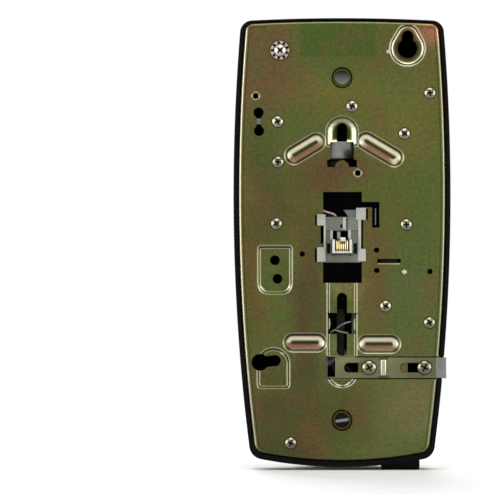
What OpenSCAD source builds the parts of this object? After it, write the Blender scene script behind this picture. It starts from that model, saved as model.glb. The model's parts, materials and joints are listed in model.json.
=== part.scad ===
// Slim wall telephone with the keypad in its handset.
// X is width, Z is up, the back (wall side) faces +Y and the front faces -Y.
// The origin is midway between the two stud seats, on the outer face of the baseplate.

/* [Outline] */
// Height of the body above the origin
body_top = 95.5; // [90:0.5:110]
// Depth of the body below the origin
body_bottom = 124.5; // [120:0.5:140]
// Half width of the body at its widest
body_half_w = 53.2; // [52:0.2:62]
// Height of the widest place
widest_z = 8.8; // [0:0.2:20]
// Radius of the bulged sides
side_r = 990; // [700:10:2000]
// Radius of the crowned top edge
top_r = 860; // [400:10:1200]
// Radius of the bowed bottom edge
bottom_r = 210; // [180:5:600]
// Radius of the top corners
top_corner_r = 6; // [4.5:0.5:10]
// Radius of the bottom corners
bottom_corner_r = 7; // [5:0.5:11]

/* [Housing] */
// Depth of the housing from the wall to its front
body_depth = 44; // [42:1:52]
// Wall of the housing
wall = 2; // [1.6:0.1:2.6]
// How far the housing narrows before its front edge
side_draft = 1; // [0:0.2:2]
// Size of the rounded front edge
front_round = 16; // [12:1:18]
// Gap at each side of the handset in its trough
trough_side_gap = 2.5; // [2:0.1:4]
// Depth of the trough floor below the front
trough_d = 16; // [14:0.5:17]
// Radius in the corners of the trough
trough_r = 5; // [3:0.5:6]
// How far the baseplate sits above the middle of the housing
plate_rise = 0.6; // [0:0.1:1]
// Gap between the baseplate and the housing
plate_gap = 0.3; // [0.2:0.05:0.6]

/* [Baseplate] */
// Thickness of the sheet steel
sheet = 1.2; // [0.8:0.1:1.4]
// Depth of the turned-in edge
flange_d = 6; // [4:0.5:7]
// Radius of the turned edge
edge_r = 1.8; // [1.4:0.1:2.4]
// Distance between the two stud seats
stud_pitch = 83.3; // [83:0.1:84]
// Width of the slot that holds a stud's neck
stud_slot_w = 5; // [4.6:0.1:5.4]
// Depth of the stiffening beads
bead_d = 2; // [1:0.1:2.4]
// Depth of the pressed pads
pad_d = 1.2; // [0.8:0.1:1.6]
// Depth of the pressing round the upper stud seat
track_d = 1.9; // [1.2:0.1:2.2]
// Half width of the pressing round the lower stud seat
track_r = 7.4; // [7:0.1:8]
// How far the walls of a pressing lean in
press_lean = 1.1; // [0.6:0.1:1.4]
// Outer diameter of the cups for the housing screws
cup_dia = 10; // [9.4:0.2:11]
// Depth of the cups
cup_d = 3; // [2:0.2:3.6]

/* [Plug carrier] */
// Width of the window that the carrier slides in
window_w = 19; // [18.4:0.2:20]
// Top of the window
window_top = 10.3; // [10:0.1:11]
// Bottom of the window
window_bottom = -34.3; // [-36:0.1:-34]
// Clearance of the carrier in the window
carrier_gap = 0.4; // [0.3:0.05:0.6]
// Height of the carrier's body
carrier_h = 25.7; // [25:0.1:26.4]
// Depth of the carrier behind the baseplate
carrier_d = 12; // [10:0.5:13]
// Thickness of the carrier's retaining tabs
tab_t = 1; // [0.8:0.1:1.4]
// Width of the plug's nose
plug_w = 9.65; // [9.6:0.01:9.7]
// Height of the plug's nose
plug_h = 6.6; // [6.5:0.05:6.7]
// How far the plug stands out of the baseplate
plug_reach = 5.5; // [4:0.5:7]

/* [Stud lock] */
// Distance from the lower stud seat down to the lock slide
lock_drop = 34.25; // [33.8:0.05:34.8]
// Width of the lock slide
lock_w = 10.3; // [9.8:0.1:10.6]
// Thickness of the lock slide
lock_t = 1.2; // [0.8:0.1:1.4]
// Travel of the lock slide
lock_travel = 5; // [3:0.5:5]
// Depth of the channel that the lock slide runs in
lock_channel_d = 2.6; // [2.6:0.1:3]
// Thickness of the latch lever
lever_t = 1; // [0.8:0.1:1.4]

/* [Inside] */
// Radius of the ringer gong
gong_r = 17; // [14:0.5:17.5]
// Room between the ringer coil and the baseplate
coil_room = 5.6; // [5:0.1:7]
// Thickness of the circuit boards
board_t = 1.6; // [1.2:0.2:2]
// Diameter of the hook plunger
plunger_dia = 8; // [7:0.2:9]
// Travel of the hook plunger
plunger_travel = 4; // [3:0.5:4]
// Running gap round the hook plunger
plunger_gap = 0.3; // [0.3:0.05:0.5]

/* [Handset] */
// Length of the handset
handset_l = 212; // [208:1:214]
// Width of the handset
handset_w = 55; // [53:0.5:56]
// Front of the handset, measured from the wall
handset_front = 60; // [58:0.5:64]
// Wall of the handset shells
handset_wall = 2.2; // [1.8:0.1:2.6]
// Gap between the handset and the floor of the trough
handset_gap = 0.3; // [0.3:0.1:1]
// Height of the earpiece and mouthpiece over the keypad face
cup_rise = 8; // [7.5:0.5:9]
// Height of the handset's middle above the origin
handset_z = -14.5; // [-16:0.5:-13]

/* [Keypad] */
// Distance between key columns
key_pitch_x = 14.5; // [13.5:0.1:15]
// Distance between key rows
key_pitch_z = 14; // [13:0.1:14.5]
// Width of a key
key_w = 11.5; // [10:0.1:12]
// Height of a key
key_h = 9.5; // [8:0.1:10.5]
// How far a key stands out
key_proud = 2.4; // [2:0.1:3]
// Travel of a key
key_travel = 1.5; // [1:0.1:1.6]
// Gap round a key
key_gap = 0.35; // [0.3:0.05:0.5]

/* [Hidden] */
$fn = 48;
eps = 0.01;
KEY_NAMES = ["key_1", "key_2", "key_3", "key_4", "key_5", "key_6",
             "key_7", "key_8", "key_9", "key_star", "key_0", "key_square"];

// Outline of the body: four large arcs joined by four corner arcs.
side_c = [body_half_w - side_r, widest_z];
top_c = [0, body_top - top_r];
bottom_c = [0, bottom_r - body_bottom];
function angle_of(v) = atan2(v.y, v.x);
function meet(a, ra, b, rb, side) =
    let (d = norm(b - a), u = (b - a) / d, t = (d * d + ra * ra - rb * rb) / (2 * d))
    a + u * t + side * sqrt(ra * ra - t * t) * [-u.y, u.x];
function arc(c, r, a0, a1, n, first = 0) =
    [for (i = [first:n]) c + r * [cos(a0 + (a1 - a0) * i / n), sin(a0 + (a1 - a0) * i / n)]];
// inset moves every edge inwards, and soften adds to the corner radii first.
function right_half(inset, soften) =
    let (rt = top_corner_r + soften, rb = bottom_corner_r + soften,
         ct = meet(side_c, side_r - rt, top_c, top_r - rt, 1),
         cb = meet(side_c, side_r - rb, bottom_c, bottom_r - rb, -1))
    concat(arc(bottom_c, bottom_r - inset, -90, angle_of(cb - bottom_c), 5),
           arc(cb, rb - inset, angle_of(cb - bottom_c), angle_of(cb - side_c), 5, 1),
           arc(side_c, side_r - inset, angle_of(cb - side_c), angle_of(ct - side_c), 12, 1),
           arc(ct, rt - inset, angle_of(ct - side_c), angle_of(ct - top_c), 5, 1),
           arc(top_c, top_r - inset, angle_of(ct - top_c), 90, 3, 1));
function outline(inset = 0, soften = 0) =
    let (half = right_half(inset, soften), n = len(half))
    concat(half, [for (i = [n - 2:-1:1]) [-half[i].x, half[i].y]]);
function half_w(z) = side_c.x + sqrt(pow(side_r, 2) - pow(z - widest_z, 2));

// A flat shape drawn in X and Z, its outer face at y, with its thickness towards the front.
module slab(y, t) {
    translate([0, y, 0]) rotate([90, 0, 0]) linear_extrude(t) children();
}
// Places a shape at X and Z so that its own +Z points to the front.
module inwards(p, y = 0, turn = 0) {
    translate([p.x, y, p.y]) rotate([90, 0, 0]) rotate([0, 0, turn]) children();
}
module block(x0, x1, y0, y1, z0, z1) {
    translate([x0, y0, z0]) cube([x1 - x0, y1 - y0, z1 - z0]);
}
// A capsule between two points whose sides lean in with depth.
module tapered_capsule(a, b, r_mouth, r_floor, depth, y = 0) {
    length = norm(b - a);
    inwards(a, y, angle_of(b - a)) {
        cylinder(h = depth, r1 = r_mouth, r2 = r_floor);
        translate([length, 0, 0]) cylinder(h = depth, r1 = r_mouth, r2 = r_floor);
        rotate([90, 0, 90]) linear_extrude(length)
            polygon([[-r_mouth, 0], [r_mouth, 0], [r_floor, depth], [-r_floor, depth]]);
    }
}
module capsule2d(a, b, r) {
    length = norm(b - a);
    translate(a) rotate(angle_of(b - a)) {
        circle(r);
        translate([length, 0]) circle(r);
        translate([0, -r]) square([length, 2 * r]);
    }
}
function round_rect(w, h, r, n = 7) =
    concat(arc([w / 2 - r, h / 2 - r], r, 0, 90, n), arc([r - w / 2, h / 2 - r], r, 90, 180, n),
           arc([r - w / 2, r - h / 2], r, 180, 270, n), arc([w / 2 - r, r - h / 2], r, 270, 360, n));
// A wire of radius r along a route: rings of points square to the run.
module wire(route, r, sides = 8) {
    n = len(route);
    function along(i) = let (d = route[min(i + 1, n - 1)] - route[max(i - 1, 0)]) d / norm(d);
    rings = [for (i = [0:n - 1])
        let (t = along(i), u = cross(t, [1, 0.2, 0]), a = u / norm(u), b = cross(t, a))
        for (k = [0:sides - 1])
            route[i] + r * (cos(360 * k / sides) * a + sin(360 * k / sides) * b)];
    walls = [for (i = [0:n - 2]) for (k = [0:sides - 1])
        let (k2 = (k + 1) % sides, p = i * sides)
        for (f = [[p + k, p + k2, p + sides + k2], [p + k, p + sides + k2, p + sides + k]]) f];
    ends = concat([for (k = [1:sides - 2]) [0, k + 1, k]],
                  [for (k = [1:sides - 2]) let (p = (n - 1) * sides) [p, p + k, p + k + 1]]);
    polyhedron(rings, concat([for (f = walls) [f[0], f[2], f[1]]],
                             [for (f = ends) [f[0], f[2], f[1]]]));
}
function bezier(p, steps) = [for (i = [0:steps]) let (t = i / steps, s = 1 - t)
    s * s * s * p[0] + 3 * s * s * t * p[1] + 3 * s * t * t * p[2] + t * t * t * p[3]];

// Places on the baseplate. Those near a side give X as a share of the body's half width, and
// those near an end move with that end.
function side_x(share) = share * body_half_w;
function beside(share, z) = [side_x(share), z];
stud_z = stud_pitch / 2;
lock_z = -stud_z - lock_drop;
small_screws = [
    beside(0.594, 44.8), beside(-0.0921, stud_z + 10.65), beside(-0.8102, 58.8),
    beside(-0.5752, 38.9), beside(0.5902, 25), beside(0.6053, -5.3), beside(-0.5921, -5.7),
    beside(-0.4023, -45.7), beside(-0.8064, -53.8), beside(0.4737, 11.7 - body_bottom)];
screw_head_dia = 6;
screw_head_h = 0.8;
shank_dia = 3.4;
screw_hole_dia = 3.6;
small_holes = [
    beside(-0.3177, -18.2), beside(-0.3195, -28.2), beside(-0.8102, -28.7), beside(0.7951, 57.3),
    beside(-0.1447, 19.5), beside(0.3665, -20.1), beside(-0.5752, -29)];
small_hole_dia = 2.7;
pad_holes = [beside(0.6184, -23.2), beside(0.594, -32.3)];
pad_hole_dia = 4.8;
double_hole = [beside(0.7688, 49.2), beside(0.765, 40.2)];
double_hole_dia = 5;
double_hole_neck = 2.4;
earth_screw_at = beside(0.5714, body_top - 15.8);
earth_washer_dia = 9.8;
// share of the way from a stud seat to the end of the body
upper_cup_share = 0.456;
lower_cup_share = 0.7248;
cups = [[0, stud_z + upper_cup_share * (body_top - stud_z)],
        [0, -stud_z - lower_cup_share * (body_bottom - stud_z)]];
hanger_hole = beside(-0.6034, body_top - 14.8);
hanger_hole_dia = 9.4;
hanger_seat = beside(-0.6053, body_top - 8.9);
hanger_slot_w = 5.5;
side_hole = beside(0.7556, -73.2);
side_hole_dia = 8.3;
side_seat = beside(0.6147, -72.4);
side_slot_w = 5.4;
beads = [[[-11.8, 35.3], [-25.5, 27.2]], [[12.7, 34.8], [23.5, 28.3]],
         [[-12.1, -64.2], [-24.1, -64.2]], [[12.1, -63.5], [24.1, -63.5]]];
bead_mouth_r = 4.6;
bead_floor_r = 3.2;
lock_screws_x = [-13.3, -40.5];
lock_slot_w = 4.8;
lock_slot_spare = 7.3;
lock_slots = [for (x = lock_screws_x) [x + lock_travel + lock_slot_spare, x - lock_slot_w / 2]];
lock_screw_dia = 4;
lock_head_dia = 6.7;

// Levels, counted from the wall towards the front, so the front is negative.
front_y = -body_depth;
trough_w = handset_w + 2 * trough_side_gap;
trough_y = trough_d - body_depth;
floor_in_y = trough_y + wall + 0.4;
// Level at a share of the way from the baseplate to the floor of the trough
function level(share) = -sheet + share * (floor_in_y + sheet);
board_y = level(0.279);
frame_y = level(0.844);
frame_t = 1.4;

/* Housing */

housing_rounding = [for (a = [0:15:90])
    [-(body_depth - front_round) - front_round * sin(a),
     side_draft + front_round * (1 - cos(a))]];
module housing_solid(thick, back_y) {
    hull() {
        translate([0, 0, thick == 0 ? 0 : plate_rise])
            slab(back_y, thick == 0 ? eps : back_y + flange_d + 0.5) polygon(outline(thick));
        for (s = housing_rounding)
            slab(s[0] + thick + eps, eps) polygon(outline(thick + s[1], 1.2 * (thick + s[1])));
    }
}
module trough_profile(grow) {
    floor_w = trough_w - 2 * trough_r;
    depth = trough_d + 20;
    translate([-trough_w / 2 - grow, trough_y - trough_r - depth])
        square([trough_w + 2 * grow, depth]);
    translate([-floor_w / 2, trough_y - trough_r - eps])
        square([floor_w, trough_r + grow + eps]);
    for (side = [-1, 1])
        translate([side * floor_w / 2, trough_y - trough_r]) circle(trough_r + grow);
}
module trough(grow) {
    translate([0, 0, -body_bottom - 10]) linear_extrude(body_top + body_bottom + 20)
        trough_profile(grow);
}
screw_boss_dia = 9;
cord_jack_x = -28.9;
cord_boss_w = 18.6;
cord_boss_out = 1.4;
cord_jack_w = 13;
cord_jack_y = -7.4;
cord_jack_d = 12;
cord_jack_h = 13;
socket_w = 7.8;
socket_d = 6.8;
cord_boss_z = -body_bottom - cord_boss_out;
plunger_at = [7.5 - handset_w / 2, handset_z + handset_l / 2 - 35.5];
plate_rib_z = [62, 4, -56];
ear_l = 50;
card_w = 36;
card_h = 44;
card_z = -28;
card_recess = 1.3;
tab_z = handset_z + handset_l / 2 - ear_l - 2.1;
tab_w = 20;
tab_peg_dia = 4;

module cord_boss() {
    block(cord_jack_x - cord_boss_w / 2, cord_jack_x + cord_boss_w / 2,
          cord_jack_y - cord_jack_d - 2.4, cord_jack_y + 2.4, cord_boss_z, cord_boss_z + 9);
}
module housing() {
    color([0.05, 0.05, 0.05]) difference() {
        union() {
            difference() {
                housing_solid(0, 0);
                difference() {
                    housing_solid(wall, 1);
                    trough(wall + 0.4);
                    for (c = cups) inwards(c, -cup_d - sheet, 0)
                        cylinder(h = body_depth, d = screw_boss_dia);
                    for (side = [-1, 1]) for (z = plate_rib_z) translate([side * half_w(z), 0, z])
                        block(-4 - wall, 4, floor_in_y, -flange_d - 0.1, -1, 1);
                }
            }
            cord_boss();
        }
        trough(0);
        for (c = cups) inwards(c, -cup_d - sheet + 1)
            cylinder(h = -floor_in_y - cup_d - sheet, d = screw_hole_dia - 0.6);
        // pocket of the cord jack and its mouth
        block(cord_jack_x - cord_jack_w / 2 - 0.1, cord_jack_x + cord_jack_w / 2 + 0.1,
              cord_jack_y - cord_jack_d - 0.1, cord_jack_y + 0.1,
              cord_boss_z + 1.5, cord_boss_z + 1.5 + cord_jack_h);
        block(cord_jack_x - socket_w / 2 - 0.6, cord_jack_x + socket_w / 2 + 0.6,
              cord_jack_y - cord_jack_d / 2 - socket_d / 2 - 0.6,
              cord_jack_y - cord_jack_d / 2 + socket_d / 2 + 0.6, cord_boss_z - 1, cord_boss_z + 2);
        // way out for the end of the lock slide
        block(-half_w(lock_z) - 2, -half_w(lock_z) + wall + 2, -lock_channel_d - 0.6, 1,
              lock_z - lock_w / 2 - 0.6, lock_z + lock_w / 2 + 0.6);
        inwards(plunger_at, floor_in_y + eps) cylinder(h = wall + 1, d = plunger_dia + 2 * plunger_gap);
        slab(trough_y + card_recess, card_recess + 1)
            translate([0, card_z]) polygon(round_rect(card_w + 0.4, card_h + 0.4, 2));
        for (side = [-1, 1]) inwards([side * tab_w / 4, tab_z - 2.5], floor_in_y + eps)
            cylinder(h = wall + 1, d = tab_peg_dia);
    }
}

/* Baseplate */

// A shape pressed into the sheet: its walls lean in with depth by lean at each edge.
module pressing(low, high, depth, y, lean = press_lean) {
    centre = (low + high) / 2;
    size = high - low;
    translate([centre.x, y, centre.y]) rotate([90, 0, 0])
        linear_extrude(depth, slices = 1, scale = [1 - 2 * lean / size.x, 1 - 2 * lean / size.y])
            translate(-centre) children();
}
module hanger_press(grow, depth, y) {
    r_hole = 8.8 + grow;
    r_seat = 5.9 + grow;
    between = hanger_seat - hanger_hole;
    pressing(hanger_hole - [r_hole, r_hole], [hanger_hole.x + r_hole, hanger_seat.y + r_seat], depth, y) {
        translate(hanger_hole) circle(r_hole);
        translate(hanger_seat) circle(r_seat);
        translate(hanger_hole) rotate(angle_of(between))
            polygon([[r_hole * 0.17, -r_hole * 0.98], [r_hole * 0.17, r_hole * 0.98],
                     [norm(between), r_seat], [norm(between), -r_seat]]);
    }
}
module pad_press(x0, x1, z0, z1, corner, grow, depth, y) {
    low = [x0 - grow, z0 - grow];
    high = [x1 + grow, z1 + grow];
    pressing(low, high, depth, y)
        polygon([[low.x, high.y], [low.x, low.y + corner], [low.x + corner, low.y],
                 [high.x - corner, low.y], [high.x, low.y + corner], high]);
}
module round_topped_press(x0, x1, z0, z1, corner, grow, depth, y) {
    low = [x0 - grow, z0 - grow];
    high = [x1 + grow, z1 + grow];
    r = (high.x - low.x) / 2;
    pressing(low, high, depth, y) {
        polygon([[low.x, high.y - r], [low.x, low.y + corner], [low.x + corner, low.y],
                 [high.x - corner, low.y], [high.x, low.y + corner], [high.x, high.y - r]]);
        translate([low.x + r, high.y - r]) circle(r);
    }
}
module upper_track_press(grow, depth, y) {
    r = track_r + 0.6 + grow;
    low = [-r, 32.6 - grow];
    high = [r, stud_z + 5.85 + grow];
    pressing(low, high, depth, y) {
        translate([0, high.y - r]) circle(r);
        translate(low) square([2 * r, high.y - r - low.y]);
    }
}
// The lower track is open at the window, so it starts above the window's edge.
module lower_track_press(grow, depth, y) {
    r = track_r + grow;
    low = [-r, lock_z - 2.5 - track_r - grow];
    high = [r, window_bottom + 6];
    pressing(low, high, depth, y) {
        translate([0, low.y + r]) circle(r);
        translate([-r, low.y + r]) square([2 * r, high.y - low.y - r]);
    }
}
module pressings(grow, sink, y) {
    hanger_press(grow, pad_d + sink, y);
    pad_press(side_x(0.4568), side_x(0.7782), -40, -16, 4.5, grow, pad_d + sink, y);
    round_topped_press(side_x(0.4793), side_x(0.7838), -86.2, -66, 4, grow, pad_d + sink, y);
    upper_track_press(grow, track_d + sink, y);
    lower_track_press(grow, pad_d + sink, y);
}
module lock_channel(grow) {
    translate([-half_w(lock_z) - 2, lock_z - lock_w / 2 - 0.4 - grow])
        square([half_w(lock_z) + 2 + 8 + grow, lock_w + 0.8 + 2 * grow]);
}
module upper_keyhole() {
    capsule2d([0, 30], [0, stud_z], stud_slot_w / 2);
    translate([-5.8, 26]) square([11.6, 8.8]);
    difference() {
        translate([-7.3, 22.5]) square([14.6, 3.6]);
        translate([0, 22.4]) circle(3.4);
    }
}
module lower_keyhole() {
    top = -stud_z - 7.15;
    capsule2d([0, -stud_z], [0, lock_z + 8.3], stud_slot_w / 2);
    half = 6.3;
    waist = 5.2;
    polygon([[-half, top], [half, top], [waist, top - 5.2], [half, top - 10.5],
             [-half, top - 10.5], [-waist, top - 5.2]]);
}
module window2d() {
    translate([-window_w / 2 - 0.2, window_bottom]) square([window_w, window_top - window_bottom]);
    translate([-18.3, 2.7]) square([12, 2.7]);
    translate([-18.3, -7.2]) square([3.6, 12]);
}
module lever_opening() {
    translate([2.9, lock_z - 4.5]) square([4.4, 9.8]);
    translate([-8, lock_z - 2.6]) square([12, 5.2]);
}
module plate_openings() {
    upper_keyhole();
    lower_keyhole();
    window2d();
    lever_opening();
    translate([-28.8, -24.5]) square([11.6, 2]);
    translate(hanger_hole) circle(d = hanger_hole_dia);
    capsule2d(hanger_hole, hanger_seat, hanger_slot_w / 2);
    translate(side_hole) circle(d = side_hole_dia);
    capsule2d(side_hole, side_seat, side_slot_w / 2);
    for (p = small_holes) translate(p) circle(d = small_hole_dia);
    for (p = pad_holes) translate(p) circle(d = pad_hole_dia);
    for (p = double_hole) translate(p) circle(d = double_hole_dia);
    capsule2d(double_hole[0], double_hole[1], double_hole_neck / 2);
    for (p = small_screws) translate(p) circle(d = screw_hole_dia);
    translate(earth_screw_at) circle(d = screw_hole_dia);
    for (c = cups) translate(c) circle(d = screw_hole_dia);
    for (x = lock_screws_x) translate([x, lock_z]) circle(d = lock_screw_dia);
}
plate_inset = wall + plate_gap;
module baseplate() {
    color([0.62, 0.56, 0.32]) difference() {
        union() {
            translate([0, 0, plate_rise]) difference() {
                hull() {
                    for (a = [0:30:60]) slab(-edge_r * (1 - cos(a)), eps)
                        polygon(outline(plate_inset + edge_r * (1 - sin(a))));
                    slab(-edge_r, flange_d - edge_r) polygon(outline(plate_inset));
                }
                slab(-sheet, flange_d) polygon(outline(plate_inset + sheet));
            }
            pressings(sheet * 0.7, 0, -sheet + eps);
            slab(-sheet + eps, lock_channel_d + eps) intersection() {
                lock_channel(sheet);
                polygon(outline(plate_inset + 0.5));
            }
            for (b = beads) tapered_capsule(b[0], b[1], bead_mouth_r + sheet * 0.6,
                                            bead_floor_r + sheet * 0.6, bead_d + eps, -sheet + eps);
            for (c = cups) inwards(c, -sheet + eps) cylinder(h = cup_d + eps, d = cup_dia + 2 * sheet);
        }
        pressings(0, 0, eps);
        slab(1, 1 + lock_channel_d) lock_channel(0);
        for (b = beads) tapered_capsule(b[0], b[1], bead_mouth_r, bead_floor_r, bead_d);
        for (c = cups) inwards(c, 1) cylinder(h = cup_d + 1, d = cup_dia);
        slab(1, flange_d + 2) plate_openings();
        // way out for the lock slide through the turned-in edge
        block(-half_w(lock_z) - 1, -half_w(lock_z) + plate_inset + sheet + 0.6,
              -lock_channel_d, 1, lock_z - lock_w / 2 - 0.4, lock_z + lock_w / 2 + 0.4);
        // room for the cord jack
        block(cord_jack_x - cord_boss_w / 2 - 0.4, cord_jack_x + cord_boss_w / 2 + 0.4,
              -flange_d - 1, cord_jack_y + 2.4 + 0.4, -body_bottom, -body_bottom + 16);
    }
}

/* Fasteners */

module screw(p, head_dia, head_h, shank, length, y = 0) {
    inwards(p, y + head_h) difference() {
        union() {
            cylinder(h = head_h * 0.5, d1 = head_dia * 0.7, d2 = head_dia);
            translate([0, 0, head_h * 0.5]) cylinder(h = head_h * 0.5, d = head_dia);
            translate([0, 0, head_h]) cylinder(h = length, d = shank);
        }
        translate([0, 0, -eps]) cylinder(h = head_h * 0.6, d = head_dia * 0.3, $fn = 6);
    }
}
module plate_screws() {
    color([0.75, 0.73, 0.6]) for (p = small_screws)
        screw(p, screw_head_dia, screw_head_h, shank_dia, sheet + 2.4);
}
module earth_screw() {
    washer_t = 0.8;
    color([0.8, 0.78, 0.68]) {
        inwards(earth_screw_at, washer_t) difference() {
            cylinder(h = washer_t, d = earth_washer_dia);
            for (a = [0:30:330]) rotate(a) translate([earth_washer_dia / 2 - 0.9, 0, -eps])
                cylinder(h = washer_t + 2 * eps, d = 1);
            translate([0, 0, -eps]) cylinder(h = washer_t + 2 * eps, d = shank_dia);
        }
        screw(earth_screw_at, 6.6, 1.4, shank_dia, sheet + washer_t + 3, washer_t);
    }
}
module housing_screws() {
    head_h = 2;
    color([0.55, 0.56, 0.58]) for (c = cups) inwards(c, -cup_d + head_h) difference() {
        union() {
            cylinder(h = head_h, d = 7.4);
            translate([0, 0, head_h]) cylinder(h = sheet + 9, d = screw_hole_dia - 0.6);
        }
        translate([-4, -0.5, -eps]) cube([8, 1, 1]);
    }
}

/* Stud spring and stud lock */

module stud_spring() {
    t = 0.6;
    deep = 7.6;
    bend_z = stud_z + 8.55;
    knee_z = stud_z + 1.95;
    color([0.6, 0.61, 0.62]) difference() {
        union() {
            translate([-6, 0, 0]) rotate([90, 0, 90]) linear_extrude(12.8)
                polygon([[-sheet, bend_z + 0.2], [-sheet - t, bend_z], [-deep - t, knee_z],
                         [-deep - t, 24.5], [-deep + 1.6, 22.5], [-deep + 2, 23], [-deep, 25],
                         [-deep, knee_z - 0.3], [-sheet, bend_z - 0.3]]);
            block(-8.6, 6.8, -sheet - t, -sheet, bend_z, bend_z + 6.8);
        }
        inwards(small_screws[1], 0) cylinder(h = 5, d = screw_hole_dia);
        // room for the head of the stud between the two legs
        block(-stud_slot_w / 2 - 0.9, stud_slot_w / 2 + 0.9, -deep - 2 * t, -sheet - t,
              stud_z - 6.4, stud_z + 3.9);
    }
}
lock_y = -lock_channel_d + 0.2 + lock_t;
lock_pin = [1.2, lock_z];
lock_pin_dia = 2.4;
lever_pivot = [-9, lock_z - 12.1];
lever_pivot_dia = 4;
lever_y = -lock_channel_d - sheet - 0.6;
lever_tip = [0.5, -stud_z - 7.35];
module lock_slide() {
    left = 3.3;
    bend_x = -20.3;
    right = -half_w(lock_z) - 1.6;
    color([0.66, 0.64, 0.5]) difference() {
        union() {
            slab(lock_y, lock_t) translate([right, lock_z - lock_w / 2])
                square([left - right, lock_w]);
            // stiffening fold across the strip
            block(bend_x - 1.4, bend_x + 1.4, lock_y - eps, lock_y + 0.5,
                  lock_z - lock_w / 2 + 1, lock_z + lock_w / 2 - 1);
            inwards(lock_pin, lock_y - lock_t + eps)
                cylinder(h = lever_t - lever_y + lock_y - lock_t + 0.6, d = lock_pin_dia);
        }
        slab(lock_y + 1, lock_t + 2) for (s = lock_slots)
            capsule2d([s[0] - lock_slot_w / 2, lock_z], [s[1] + lock_slot_w / 2, lock_z],
                      lock_slot_w / 2);
        for (side = [-1, 1]) block(bend_x - 2.6, bend_x + 2.6, lock_y - lock_t - 1, lock_y + 1,
            lock_z + side * lock_w / 2 - 0.9, lock_z + side * lock_w / 2 + 0.9);
    }
}
module lock_screws() {
    color([0.75, 0.73, 0.6]) for (x = lock_screws_x) {
        screw([x, lock_z], lock_head_dia, 0.9, lock_screw_dia, lock_channel_d + sheet + 1.2,
              lock_y + 0.2);
    }
}
module latch_lever() {
    arm_w = 4;
    color([0.2, 0.2, 0.19]) difference() {
        slab(lever_y, lever_t) {
            capsule2d(lever_pivot, lock_pin, 3.6);
            capsule2d(lock_pin, lever_tip, arm_w / 2);
        }
        inwards(lever_pivot, 0) cylinder(h = 20, d = lever_pivot_dia + 0.1);
        along = (lock_pin - lever_pivot) / norm(lock_pin - lever_pivot);
        slab(0, 20) capsule2d(lock_pin - 4 * along, lock_pin + 0.8 * along,
                              lock_pin_dia / 2 + 0.55);
    }
}
module lever_pin() {
    color([0.7, 0.68, 0.55]) {
        inwards(lever_pivot, -sheet) cylinder(h = -lever_y - sheet + lever_t + 0.3, d = lever_pivot_dia);
        inwards(lever_pivot, lever_y - lever_t - 0.3) cylinder(h = 1, d = lever_pivot_dia + 2.4);
        inwards(lever_pivot, -sheet) cylinder(h = -lever_y - sheet - 0.3, d = lever_pivot_dia + 2.4);
    }
}

/* Plug carrier */

carrier_x0 = -window_w / 2 - 0.2 + carrier_gap;
carrier_x1 = window_w / 2 - 0.2 - carrier_gap;
carrier_top = 1.5;
carrier_bottom = carrier_top - carrier_h;
pocket_top = -8.5;
plug_top = -12.6;
plug_z = -16.4;
carrier_tabs = [[8.1, 12.2, -6.2, -0.7], [8.1, 12.2, -24, -16.3],
                [-11.6, -6.9, -3.4, 2.5], [-11.6, -7.8, -23.7, -17.6]];
lead_x = [3, 4.6, 6.2, 7.8];
plug_body_w = plug_w + 2;
module plug_carrier() {
    color([0.45, 0.46, 0.45]) difference() {
        union() {
            block(carrier_x0, carrier_x1, -carrier_d, 0.3, carrier_bottom, carrier_top);
            for (t = carrier_tabs) block(t[0], t[1], 0.3, 0.3 + tab_t, t[2], t[3]);
            block(carrier_x0 + 0.3, carrier_x1 - 0.3, 0.2, 0.3 + tab_t, pocket_top, -2);
            block(carrier_x0 + 0.3, carrier_x1 - 0.3, 0.2, 0.3 + tab_t, carrier_bottom, -20.7);
            // ribs behind the plate that keep the carrier in its window
            for (z = [carrier_top - 4, carrier_bottom + 1])
                block(carrier_x0 - 2.2, carrier_x1 + 2.2, -sheet - 2, -sheet - 0.4, z, z + 3);
        }
        // pocket for the plug, open to the wall
        block(-7.2, 7.2, -carrier_d + 2, 3, -20.2, pocket_top);
        // opening through the pocket floor beside the post of the plug
        block(-3.4, 5.4, -carrier_d - 1, -carrier_d + 3, plug_top + 0.3, pocket_top);
        // notch for the leads
        block(2, 9.2, -9.5, 3, -2, carrier_top + 1);
        // small spring latch over the plug
        block(-2.4, 2.4, -0.6, 3, -7.4, -4.2);
    }
}
module wall_plug() {
    color([0.85, 0.86, 0.82]) difference() {
        union() {
            block(-plug_w / 2, plug_w / 2, -carrier_d + 2, plug_reach, plug_z - plug_h / 2,
                  plug_z + plug_h / 2);
            block(-plug_body_w / 2, plug_body_w / 2, -carrier_d + 2, -1.4, -20, plug_top);
            // post above the nose
            block(0.7, 2.5, -carrier_d + 2, -1.8, plug_top - eps, pocket_top - 0.5);
            // release arm
            block(-1.6, 1.6, -3, plug_reach - 1.2, plug_z + plug_h / 2 - eps, plug_z + plug_h / 2 + 1.1);
        }
        // open front with the contact blades
        block(-plug_w / 2 + 0.9, plug_w / 2 - 0.9, plug_reach - 3.4, plug_reach + 1,
              plug_z - plug_h / 2 + 0.8, plug_z + plug_h / 2 - 1.2);
        for (i = [-2.5:2.5]) block(i * 1.02 - 0.3, i * 1.02 + 0.3, 0.6, plug_reach + 1,
            plug_z - plug_h / 2 - 1, plug_z - plug_h / 2 + 1.7);
    }
}
module plug_contacts() {
    color([0.86, 0.7, 0.3]) for (i = [-2.5:2.5])
        block(i * 1.02 - 0.2, i * 1.02 + 0.2, 0.6, plug_reach - 0.6,
              plug_z - plug_h / 2 + 0.1, plug_z - plug_h / 2 + 1.7);
}
clamp_z = 14;
clamp_x1 = 9.5;
clamp_y = board_y - 1;
lead_r = 0.55;
lead_end_gap = 0.1;
lead_pitch = 1.15;
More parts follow.
